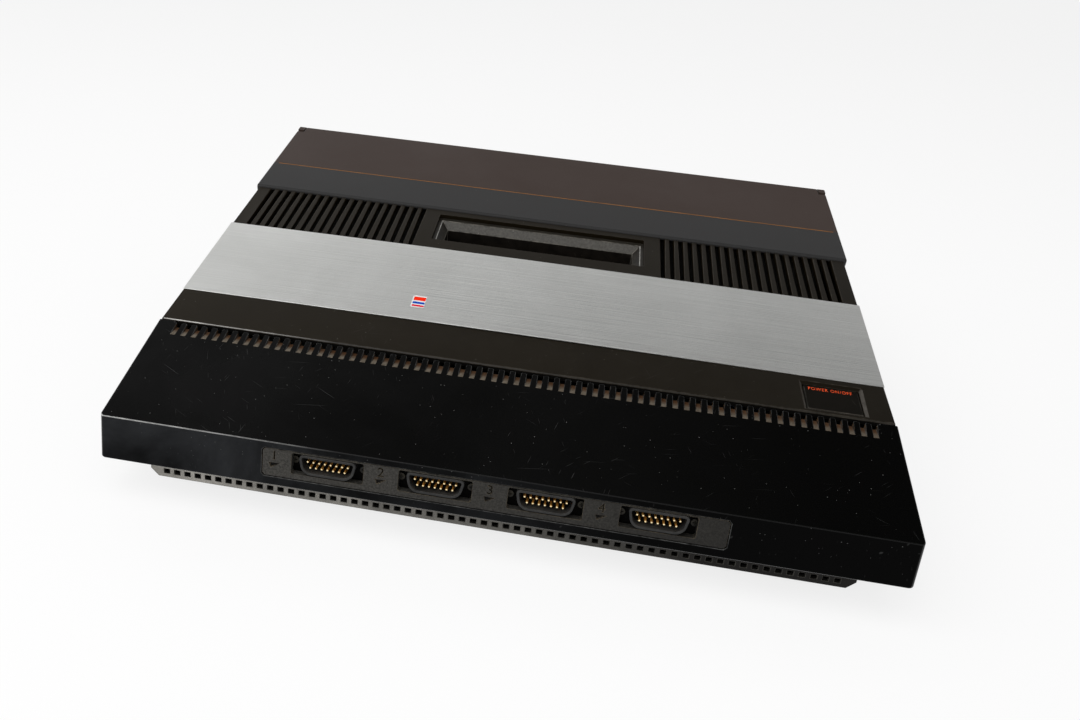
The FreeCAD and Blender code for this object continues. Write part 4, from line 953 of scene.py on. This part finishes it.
def dress_areas(piece: Piece, *areas: tuple[Finish, Test]) -> None:
    """Give areas of a piece a finish of their own.

    Args:
        piece: the piece.
        areas: each finish with a test of a face's centre and normal.
    """
    for finish, wanted in areas:
        piece.data.materials.append(finish.material())
        for face in piece.data.polygons:
            if wanted(face.center, face.normal):
                face.material_index = len(piece.data.materials) - 1


def dress(piece: Piece, finish: Finish, *areas: tuple[Finish, Test]) -> None:
    """Give a piece one finish all over, and then areas of it their own.

    Args:
        piece: the piece.
        finish: its main finish.
        areas: as in dress_areas.
    """
    piece.data.materials.clear()
    piece.data.materials.append(finish.material())
    dress_areas(piece, *areas)


def refinished(node: str, name: str, slot: str, finish: Finish, edge: float, slices: int = 2,
               body: str = "console") -> None:
    """Put a softened copy of a CAD node in the node's place.

    Args:
        node: name of the CAD node.
        name: name of the new piece.
        slot: the record's material slot.
        finish: its finish.
        edge: width of its soft edges, in mm.
        slices: facets across them.
        body: the CAD body it rides on.
    """
    piece = copied(node, name)
    dress(piece, finish)
    soften(piece, edge, slices)
    install(piece, slot, node, body=body)


def install(piece: Piece, slot: str, *nodes: str, body: str = "console") -> None:
    """Put a finished piece on its body.

    Args:
        piece: the piece, in place.
        slot: the record's material slot; not used.
        nodes: the CAD nodes that it stands for.
        body: the CAD body it rides on.
    """
    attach(piece, body)
    if nodes:
        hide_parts(*nodes)
    LOG.info("%s rides on %s, %d faces", piece.name, body, len(piece.data.polygons))


# Sub-assemblies

@dataclass
class FrontPanel:
    """The glossy front shell, with its row of vent slots along the rear edge."""

    rib_round: float = 0.8
    edge: float = 0.3
    rib_end: EdgeTest = EdgeTest(PANEL, x=(-ANY, 181.0), u=(70.96, 71.26), axis=2, run=1.0)
    face: FaceTest = FaceTest(u=(-ANY, -150.0), front=(-ANY, -0.9))
    slot_floor: FaceTest = FaceTest(PANEL, u=(61.5, 69.15), v=(-2.2, -0.05), up=(0.8, ANY))
    slot_wall: FaceTest = FaceTest(PANEL, x=(-ANY, 181.5), u=(61.3, 70.61), v=(-4.0, -0.05),
                                   side=(0.8, ANY))
    front_round: FaceTest = FaceTest(u=(-ANY, -159.5), v=(42.0, ANY), front=(-0.9, -0.45))
    rib_nose: FaceTest = FaceTest(PANEL, x=(-ANY, 181.5), u=(70.21, 71.16), front=(0.15, ANY),
                                  up=(-0.5, 0.5))

    def build(self) -> None:
        """Shape the ribs' ends, dust the slot floors with painted light, paint a reflection on the face
        and highlights on the front round and the rib ends, and soften the edges.
        """
        piece = copied("front_shell", "front_panel")
        round_off(piece, self.rib_round, 4, self.rib_end)
        # The face takes a painted reflection, the front round and the rib noses painted highlights, and
        # the slot floors painted light over their dust.
        dress(piece, GLOSS_BLACK, (GLOSS_FACE, self.face), (SLOT_FLOOR, self.slot_floor),
              (SLOT_WALL, self.slot_wall), (GLOSS_EDGE, self.front_round), (RIB_END, self.rib_nose))
        soften(piece, self.edge, rim=GLOSS_BLACK.rim())
        install(piece, "gloss_shell", "front_shell")


@dataclass(frozen=True)
class Screw:
    """A pan-head screw with a cross recess, head down and shank up.

    Attributes:
        head_radius: in mm.
        head_height: in mm.
        shank_radius: in mm.
        shank_length: in mm, from under the head.
        dome: share of the head's height that is rounded.
        point: share of the shank's radius that is cut off at its end.
        cross: width of the recess, as a share of the head's radius.
    """

    head_radius: float
    head_height: float
    shank_radius: float
    shank_length: float
    dome: float = 0.45
    point: float = 0.4
    cross: float = 0.24

    def build(self) -> Piece:
        """Model the screw with its head on the origin.

        Returns:
            The new object.
        """
        reach, height = self.head_radius, self.head_height
        head = drum("screw", reach, height, 20, (0, 0, height / 2))
        round_off(head, height * self.dome, 3, EdgeTest(v=(-ANY, 0.1)))
        carve(head, joined("cross", [block("slot_a", (reach, reach * self.cross, height)),
                                     block("slot_b", (reach * self.cross, reach, height))]))
        length = self.shank_length + height / 2
        shank = drum("shank", self.shank_radius, length, 12, (0, 0, height / 2 + length / 2))
        round_off(shank, self.shank_radius * self.point, 1, EdgeTest(v=(height + length / 2, ANY)))
        return soften(joined("screw", [head, shank]), 0.05, 1)


@dataclass
class PortRow:
    """The port plate with its sunk marks, the four D ports, their pins and screws."""

    ports: Sequence[int] = (1, 2, 3, 4)
    row_shift: float = -0.9
    spacing: float = 51.3
    drop: float = 9.4
    plate_edge: float = 0.12
    shroud: Pair = (28.2, 10.0)
    taper: float = 2.2
    corners: Pair = (2.7, 4.2)
    wall: float = 1.3
    depth: float = 6.6
    floor_depth: float = 6.2
    insert: Pair = (0.5, 0.6)
    flange: Triple = (39.0, 1.4, 12.6)
    back: Triple = (29.3, 4.4, 10.0)
    back_along: float = 8.8
    pin: Pair = (0.56, 10.0)
    pin_along: float = 6.0
    pin_nose: float = 0.28
    pin_pitch: float = 2.77
    pin_rows: float = 2.84
    screw: Screw = Screw(2.0, 0.8, 1.0, 9.0)
    screw_reach: float = 16.6
    screw_along: float = 4.4
    mark_shift: float = -25.7
    mark_sink: float = 0.4
    mark_reach: float = 3.4
    mark_floor: FaceTest = FaceTest(FACE, u=(0.44, 1.3), v=(-14.5, -3.8))
    number_height: float = 6.6
    number_depth: float = 0.8
    number_drop: float = 7.2
    arrow_size: Triple = (5.0, 1.6, 2.4)
    arrow_drop: float = 12.0
    arrow_lean: float = 1.6
    arrow_tip: float = 0.06

    def centre(self, index: int) -> float:
        """Place across the console of a port, counted from 1."""
        return self.row_shift + (index - 2.5) * self.spacing

    def build(self) -> None:
        """Build the plate, the ports, the pins and the screws."""
        self.build_plate()
        self.build_ports()
        self.build_pins()
        self.build_screws()

    def build_plate(self) -> None:
        """Copy the plate and sink a number and a triangle beside each port."""
        plate = copied("port_plate", "port_plate_face")
        upright = Matrix.Rotation(math.radians(90), 4, "X")
        marks = []
        for index in self.ports:
            x = self.centre(index) + self.mark_shift
            number = lettering(f"number_{index}", str(index), self.number_height, self.number_depth)
            lay(number, FACE.matrix(x, self.mark_sink, -self.number_drop) @ upright)
            marks += [number, self.arrow(x)]
        carve(plate, joined("marks", marks))
        dress(plate, PLATE_GREY, (MARK, self.is_mark))
        soften(plate, self.plate_edge, rim=PLATE_GREY.rim())
        install(plate, "port_plate_plastic", "port_plate")

    def arrow(self, x: float) -> Piece:
        """The cutter of a triangle that points down to its port.

        Args:
            x: place across the console, in mm.

        Returns:
            The new object, in place.
        """
        arrow = block("arrow", self.arrow_size, (x, 0, 0))
        with shaping(arrow, Pick.VERTS, lambda place: place.z < 0):
            bpy.ops.transform.resize(value=(self.arrow_tip, 1, 1),
                                     center_override=((x - self.arrow_lean) * MM, 0, 0))
        return lay(arrow, FACE.matrix(0, self.mark_sink, -self.arrow_drop))

    def is_mark(self, centre: Vector, normal: Vector) -> bool:
        """Whether a face lies inside a sunk number or triangle.

        Args:
            centre: its centre, in metres.
            normal: its normal.

        Returns:
            True if it does.
        """
        x = centre.x / MM - self.mark_shift
        beside = any(abs(x - self.centre(index)) < self.mark_reach for index in self.ports)
        return beside and self.mark_floor(centre, normal)

    def build_ports(self) -> None:
        """Model one D port and copy it to the four places."""
        width, height = self.shroud
        shell = block("port", (width, self.depth + 0.1, height), (0, self.depth / 2 - 0.05, 0))
        with shaping(shell, Pick.VERTS, lambda place: place.z < 0):
            bpy.ops.transform.resize(value=(1 - 2 * self.taper / width, 1, 1),
                                     center_override=(0, 0, 0))
        upper, lower = self.corners
        round_off(shell, upper, 6, EdgeTest(v=(0, ANY), axis=1, run=5.0))
        round_off(shell, lower, 7, EdgeTest(v=(-ANY, -4.9), axis=1, run=5.0))
        inset, proud = self.insert
        with shaping(shell, Pick.FACES, FaceTest(front=(-ANY, -0.9))):
            for thickness, push in ((self.wall, self.floor_depth), (inset, -proud)):
                bpy.ops.mesh.inset(thickness=thickness * MM)
                bpy.ops.mesh.extrude_region_move(
                    TRANSFORM_OT_translate={"value": (0, push * MM, 0)})
        dress(shell, PORT_BLACK)
        flange = block("port_flange", self.flange, (0, self.depth - self.flange[1] / 2, 0))
        round_off(flange, 1.2, 3, EdgeTest(axis=1, run=1.0))
        back = block("port_back", self.back, (0, self.back_along, 0))
        round_off(back, 0.8, 2, EdgeTest(axis=1, run=1.0))
        # The flange and the back are painted shadow-black, for the shade round each port.
        dress(flange, SHADOW)
        dress(back, SHADOW)
        port = soften(joined("port", [shell, flange, back]), 0.4, 3)
        for index in self.ports:
            piece = another(port, f"d_port_{index}")
            lay(piece, FACE.matrix(self.centre(index), 0, -self.drop))
            install(piece, "port_plastic", f"controller_port_{index}")
        bpy.data.objects.remove(port)

    def build_pins(self) -> None:
        """Model one round-nosed pin and set 15 of them in each port."""
        pin = drum("pin", *self.pin, 8, (0, self.pin_along, 0), (90, 0, 0))
        round_off(pin, self.pin_nose, 2, EdgeTest(u=(-ANY, 2.0)))
        soften(pin, 0.02, 1)
        places = [FACE.matrix(self.centre(index) + (step - (count - 1) / 2) * self.pin_pitch, 0,
                              level * self.pin_rows - self.drop)
                  for index in self.ports for count, level in ((8, 0.5), (7, -0.5))
                  for step in range(count)]
        pins = repeated("gilt_pins", pin, places)
        dress(pins, GILT, (GILT_TIP, FaceTest(front=(-ANY, -0.5))))
        install(pins, "gilt", "port_pins")

    def build_screws(self) -> None:
        """Set a screw at each end of every port."""
        forward = Matrix.Rotation(math.radians(-90), 4, "X")
        places = [FACE.matrix(self.centre(index) + side, self.screw_along, -self.drop) @ forward
                  for index in self.ports for side in (-self.screw_reach, self.screw_reach)]
        screws = repeated("port_screw_set", self.screw.build(), places)
        dress(screws, DARK_STEEL)
        install(screws, "plated_steel", "port_screws")


@dataclass
class TopHousing:
    """The satin top moulding with the control strip, the grilles and the lid's seat."""

    rib_round: float = 0.75
    lip_round: float = 0.6
    edge: float = 0.2
    rib_top: EdgeTest = EdgeTest(DECK, x=(74.0, 184.0), v=(-0.05, 0.05), axis=1, run=20.0)
    lip: EdgeTest = EdgeTest(DECK, u=(-0.05, 0.05), v=(-0.05, 0.05))
    under_lip: FaceTest = FaceTest(u=(-92.5, -85.0), v=(-ANY, 64.5), front=(-ANY, -0.7))
    lip_face: FaceTest = FaceTest(u=(-ANY, -90.2), v=(63.0, ANY), front=(-0.85, -0.42))
    button_bevel: FaceTest = FaceTest(DECK, x=(142.0, 181.0), u=(2.0, 26.0), v=(-3.0, -0.1),
                                      side=(0.35, ANY), up=(0.35, ANY))
    cheek: FaceTest = FaceTest(x=(150.0, ANY), u=(154.0, ANY), v=(85.0, ANY))

    def build(self) -> None:
        """Round the grille's ribs, break the strip's lip and soften the rest."""
        piece = copied("upper_housing", "top_housing")
        round_off(piece, self.rib_round, 3, self.rib_top)
        round_off(piece, self.lip_round, 1, self.lip)
        # Painted shadow on the lip's front face, a painted highlight on the lip's chamfer, and rubbed
        # wear with a painted highlight on the button's bevels.
        dress(piece, SATIN_BROWN, (SHADOW, self.under_lip), (SATIN_EDGE, self.lip_face),
              (SATIN_BEVEL, self.button_bevel), (LID_SLATE, self.cheek))
        soften(piece, self.edge, rim=SATIN_BROWN.rim())
        install(piece, "satin_housing", "upper_housing")


@dataclass
class PowerButton:
    """The large button in the control strip, with its legend and its return spring."""

    x: float = 161.6
    along: float = 13.9
    sink: float = 1.3
    edge: float = 0.3
    front_round: FaceTest = FaceTest(DECK, u=(-ANY, 5.0), v=(-2.2, ANY), front=(-0.92, -0.3),
                                     up=(0.2, ANY))
    legend_height: float = 3.3
    legend_width: float = 21.9
    legend_spacing: float = 1.2
    legend_shift: Pair = (-0.5, 7.2)
    ink: float = 0.01
    ink_lift: float = 0.012
    well_depth: float = 12.0
    cap: float = 1.8
    travel: float = 2.0

    def build(self) -> None:
        """Soften the cap, print its legend and set the spring under it."""
        cap = copied("power_button", "power_key")
        dress(cap, BUTTON)
        soften(cap, self.edge, rim=BUTTON.rim())
        # The cap's front round takes rubbed wear with a painted highlight.
        dress_areas(cap, (SATIN_BEVEL, self.front_round))
        install(cap, "button_plastic", "power_button", body="button")
        words = lettering("power_legend", "POWER ON/OFF", self.legend_height, self.ink,
                          self.legend_spacing)
        wide = max(corner.co.x for corner in words.data.vertices) / MM * 2
        across, up = self.legend_shift
        lay(words, DECK.matrix(self.x + across, self.along + up, self.ink_lift - self.sink)
            @ Matrix.Diagonal((self.legend_width / wide, 1.0, 1.0, 1.0)))
        dress(words, RED_INK)
        install(words, "button_plastic", body="button")
        self.build_spring()

    def build_spring(self) -> None:
        """Copy the coil, and give it a mesh of its own."""
        spring = copied("button_spring", "return_spring")
        dress(spring, SPRING)
        install(spring, "spring_steel", "button_spring")
        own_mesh(spring)


@dataclass
class MetalBand:
    """The brushed band across the deck, with its small striped label."""

    edge: float = 0.25
    crown: float = 0.905
    label_x: float = -58.9
    label_along: float = 16.9
    label: Triple = (7.6, 11.0, 0.3)
    margin: float = 0.4
    ink: float = 0.06
    stripes: Sequence[tuple[float, float, Finish]] = (
        (0.8, 4.4, LABEL_RED), (-2.4, -0.4, LABEL_BLUE), (-5.0, -3.4, LABEL_CRIMSON))

    def build(self) -> None:
        """Soften the folded band and lay the label on it."""
        refinished("trim_panel", "metal_band", "brushed_band", BRUSHED_METAL, self.edge)
        wide, _, thick = self.label
        base = block("label_base", self.label, (0, 0, thick / 2))
        round_off(base, 0.6, 3, EdgeTest(axis=2, run=0.1))
        dress(base, LABEL_WHITE)
        pieces = [base]
        for low, high, finish in self.stripes:
            stripe = block("stripe", (wide - 2 * self.margin, high - low, self.ink),
                           (self.margin / 2, (low + high) / 2, thick))
            round_off(stripe, 0.25, 2, EdgeTest(axis=2, run=0.04))
            dress(stripe, finish)
            pieces.append(stripe)
        label = soften(joined("striped_label", pieces), 0.02, 1)
        lay(label, BAND.matrix(self.label_x, self.label_along, self.crown))
        install(label, "badge", "trim_badge")


@dataclass
class CartridgeSlot:
    """The framed funnel that a cartridge goes into."""

    edge: float = 0.35
    slope: FaceTest = FaceTest(front=(-0.85, -0.3), up=(0.3, ANY))
    end: FaceTest = FaceTest(side=(0.3, ANY), up=(0.2, ANY))
    throat: FaceTest = FaceTest(v=(-ANY, 70.0), up=(-0.3, 0.3))
    end_round: FaceTest = FaceTest(DECK, x=(62.6, 64.0), v=(-3.3, -2.6), side=(0.2, 0.75))

    def build(self) -> None:
        """Soften the funnel and its throat."""
        piece = copied("cartridge_well", "cartridge_funnel")
        # Painted light on the rear slope, painted shade on the end slopes and the throat.
        dress(piece, WELL, (WELL_SLOPE, self.slope), (WELL_SIDE, self.end), (WELL_DARK, self.throat))
        soften(piece, self.edge, rim=WELL.rim())
        # Painted highlights on the rounds at the funnel's ends.
        dress_areas(piece, (WELL_EDGE, self.end_round))
        install(piece, "well_plastic", "cartridge_well")


@dataclass
class StorageLid:
    """The lid over the rear bay, with its thin stripe, and the bin under it."""

    edge: float = 0.35
    underside: FaceTest = FaceTest(up=(-ANY, -0.3))
    recess: FaceTest = FaceTest(DECK, x=(-ANY, 187.0), u=(168.0, 246.0), v=(-ANY, -0.2))
    stripe: Pair = (-187.4, 187.9)
    stripe_along: float = 192.1
    stripe_width: float = 0.8
    stripe_rise: float = 1.2
    ink: float = 0.06
    bin_edge: float = 0.6

    def build(self) -> None:
        """Soften the lid and the bin, and inlay the stripe."""
        lid = copied("storage_lid", "bay_lid")
        dress(lid, LID_SLATE, (LID_INSIDE, self.is_inside))
        soften(lid, self.edge, rim=LID_SLATE.rim())
        install(lid, "satin_housing", "storage_lid", body="lid")
        left, right = self.stripe
        line = block("lid_stripe", (right - left, self.stripe_width, self.ink))
        round_off(line, 0.3, 2, EdgeTest(axis=2, run=0.04))
        lay(line, DECK.matrix((left + right) / 2, self.stripe_along, self.stripe_rise))
        dress(line, STRIPE_INK)
        install(line, "satin_housing", body="lid")
        refinished("storage_bin", "bay_bin", "bin_plastic", BIN, self.bin_edge, 3)

    def is_inside(self, centre: Vector, normal: Vector) -> bool:
        """Whether a face is on the lid's underside, or on a wall of its recess."""
        return self.underside(centre, normal) or self.recess(centre, normal)


@dataclass
class LowerTray:
    """The tray with its vents, feet, screws, channel switch and lead outlet."""

    edge: float = 0.25
    face: FaceTest = FaceTest(u=(-ANY, -144.0), front=(-ANY, -0.5))
    foot_radius: float = 9.0
    foot_height: float = 6.4
    foot_taper: float = 0.84
    foot_ring: Pair = (1.6, 0.8)
    foot_places: Pair = (133.0, 120.0)
    screw: Screw = Screw(3.0, 1.8, 1.5, 9.2)
    screw_rise: float = 21.0
    screw_places: Sequence[Pair] = (
        (-178.3, -140.0), (-178.3, -58.0), (178.3, -140.0), (178.3, -58.0), (-120.0, 155.46),
        (120.0, 155.46))
    outlet: Pair = (72.0, 14.0)
    collar: Triple = (5.4, 1.4, 150.7)
    sleeve: Triple = (3.95, 3.8, 148.1)
    bore: Triple = (2.4, 12.0, 148.7)

    def build(self) -> None:
        """Build the tray and what is fixed to it."""
        tray = copied("bottom_case", "lower_tray")
        # The tray's front takes a painted reflection of the floor.
        dress(tray, TRAY, (TRAY_FACE, self.face))
        soften(tray, self.edge, rim=TRAY.rim())
        install(tray, "tray_plastic", "bottom_case")
        self.build_feet()
        screws = repeated("case_screw_set", self.screw.build(),
                          [LEVEL.matrix(x, y, self.screw_rise) for x, y in self.screw_places])
        dress(screws, STEEL)
        install(screws, "plated_steel", "case_screws")
        self.build_outlet()
        refinished("channel_switch", "channel_slider", "button_plastic", BUTTON, 0.2, body="switch")
        refinished("channel_switch_body", "channel_case", "component_black", COMPONENT, 0.2)

    def build_feet(self) -> None:
        """Model one foot with a ringed tread, and copy it to the corners."""
        foot = drum("foot", self.foot_radius, self.foot_height, 32, (0, 0, self.foot_height / 2))
        with shaping(foot, Pick.FACES, FaceTest(up=(-ANY, -0.9))):
            bpy.ops.transform.resize(value=(self.foot_taper, self.foot_taper, 1),
                                     center_override=(0, 0, 0))
            for ring in self.foot_ring:
                bpy.ops.mesh.inset(thickness=ring * MM)
            bpy.ops.mesh.extrude_region_move(TRANSFORM_OT_translate={"value": (0, 0, ring * MM)})
        soften(foot, 0.5, 3)
        wide, deep = self.foot_places
        feet = repeated("rubber_foot_set", foot,
                        [LEVEL.matrix(x, y) for x in (-wide, wide) for y in (-deep, deep)])
        dress(feet, RUBBER)
        install(feet, "foot_rubber", "rubber_feet")

    def build_outlet(self) -> None:
        """Model the rubber outlet of the lead."""
        x, z = self.outlet
        collar, sleeve, bore = (
            drum("outlet", radius, length, 32, (x, along, z), (90, 0, 0))
            for radius, length, along in (self.collar, self.sleeve, self.bore))
        outlet = joined("lead_outlet", [collar, sleeve])
        round_off(outlet, 0.5, 3, EdgeTest(u=(151.3, ANY)))
        carve(outlet, bore)
        dress(outlet, RUBBER)
        soften(outlet, 0.2)
        install(outlet, "grommet_rubber", "cable_grommet")


@dataclass
class Innards:
    """The boards, screens and components inside, which keep their CAD shapes."""

    finishes: Sequence[tuple[Finish, Sequence[str]]] = (
        (BOARD, ("port_board", "main_board")),
        (RIBBON, ("port_ribbon",)),
        (COMPONENT, ("power_switch", "cartridge_connector", "processor_chips",
                     "voltage_regulators")),
        (GILT, ("connector_contacts",)),
        (STEEL, ("lid_hinge_pins", "board_screws")),
        # The upper screen is darkened as painted shade.
        (SCREEN, ("rf_shield_upper",)),
        (TIN, ("rf_shield_lower", "clock_crystal", "rf_modulator")),
        (SINK, ("heat_sink",)),
        (SLEEVE, ("filter_capacitors",)))

    def build(self) -> None:
        """Give every carried-over node its finish."""
        for finish, nodes in self.finishes:
            for node in nodes:
                for slot in frame["nodes"][node].material_slots:
                    slot.material = finish.material()
                LOG.info("%s keeps its shape, in %s", node, finish.name)


@dataclass(frozen=True)
class Lamp:
    """A square soft lamp that faces the console.

    Attributes:
        name: its name.
        place: its centre, in mm.
        size: its side, in mm.
        power: its power, in watts.
        is_mirrored: whether glossy surfaces mirror it.
    """

    name: str
    place: Triple
    size: float
    power: float
    is_mirrored: bool = True

    def hang(self) -> None:
        """Hang the lamp, and aim it at the middle of the console."""
        lamp = bpy.data.lights.new(self.name, "AREA")
        lamp.size = self.size * MM
        lamp.energy = self.power
        holder = bpy.data.objects.new(self.name, lamp)
        bpy.context.scene.collection.objects.link(holder)
        holder.location = Vector(self.place) * MM
        holder.visible_glossy = self.is_mirrored
        aim = Vector((0, 0, 40)) * MM - holder.location
        holder.rotation_euler = aim.to_track_quat("-Z", "Y").to_euler()


@dataclass
class Studio:
    """The floor, the light and the camera."""

    floor_size: float = 12.0
    floor_grey: float = 0.95
    floor_glow: float = 0.8
    wall: Sequence[float] = (-0.42, 0.42, 0.95, 0.44)
    ceiling: Sequence[float] = (-0.5, 0.4, 0.08, 0.0)
    wall_foot: Pair = (0.1, 0.4)
    wall_top: Pair = (0.72, 0.8)
    lamps: Sequence[Lamp] = (Lamp("key", (-700, -700, 1500), 1600, 14.0),
                             Lamp("top", (100, -500, 1700), 1500, 9.0, is_mirrored=False))
    lens: float = 32.402
    sensor: float = 36.0
    shift: Pair = (0.0793, -0.0554)
    place: Triple = (20.04, -533.8, 296.1)
    turn: Triple = (65.909, -4.630, 8.975)

    def build(self) -> None:
        """Set up the whole studio."""
        self.build_floor()
        self.build_world()
        for lamp in self.lamps:
            lamp.hang()
        self.add_camera()

    def build_floor(self) -> None:
        """Lay a pale floor that stays white to the camera and keeps the shadow."""
        bpy.ops.mesh.primitive_plane_add(size=self.floor_size)
        floor = bpy.context.active_object
        floor.name = "floor"
        material = bpy.data.materials.new("pale floor")
        material.use_nodes = True
        tree = Tree(material.node_tree)
        matte = tree.feed(tree.add("BsdfDiffuse"), Color=(*[self.floor_grey] * 3, 1.0))
        glow = tree.feed(tree.add("Emission"), Color=(1.0, 1.0, 1.0, 1.0), Strength=1.0)
        rays = tree.add("LightPath").outputs
        seen = tree.sum("MAXIMUM", rays["Is Camera Ray"], rays["Is Glossy Ray"])
        seen = tree.sum("MAXIMUM", seen, rays["Is Transmission Ray"])
        mixed = tree.feed(tree.add("MixShader"), Fac=tree.sum("MULTIPLY", seen, self.floor_glow))
        tree.put(mixed.inputs[1], matte.outputs[0])
        tree.put(mixed.inputs[2], glow.outputs[0])
        tree.feed(tree.add("OutputMaterial"), Surface=mixed.outputs[0])
        floor.data.materials.append(material)

    def build_world(self) -> None:
        """Surround the scene with a room: white low down, dimmer to the right, dark overhead."""
        world = bpy.data.worlds.new("studio")
        world.use_nodes = True
        bpy.context.scene.world = world
        tree = Tree(world.node_tree)
        way = tree.parts(tree.add("TexCoord").outputs["Generated"])
        wall = tree.ramp(way["X"], *self.wall)
        ceiling = tree.ramp(way["X"], *self.ceiling)
        lower = tree.ramp(way["Z"], *self.wall_foot, 1.0, wall)
        strength = tree.ramp(way["Z"], *self.wall_top, lower, ceiling)
        sky = tree.feed(tree.add("Background"), Color=(1.0, 1.0, 1.0, 1.0), Strength=strength)
        tree.feed(tree.add("OutputWorld"), Surface=sky.outputs[0])

    def add_camera(self) -> None:
        """Stand the camera where the photograph was taken from."""
        camera = bpy.data.cameras.new("camera")
        camera.lens = self.lens
        camera.sensor_width = self.sensor
        camera.shift_x, camera.shift_y = self.shift
        holder = bpy.data.objects.new("camera", camera)
        bpy.context.scene.collection.objects.link(holder)
        holder.location = Vector(self.place) * MM
        holder.rotation_euler = [math.radians(angle) for angle in self.turn]
        bpy.context.scene.camera = holder
        bpy.context.scene.view_settings.view_transform = "Standard"


def main() -> None:
    """Build the console's pieces in order, then the studio."""
    logging.basicConfig(level=logging.INFO, format="%(message)s")
    parts = (FrontPanel(), PortRow(), TopHousing(), PowerButton(), MetalBand(), CartridgeSlot(),
             StorageLid(), LowerTray(), Innards(), Studio())
    for part in parts:
        part.build()
        LOG.info("%s done", type(part).__name__)


if __name__ == "__main__":
    main()
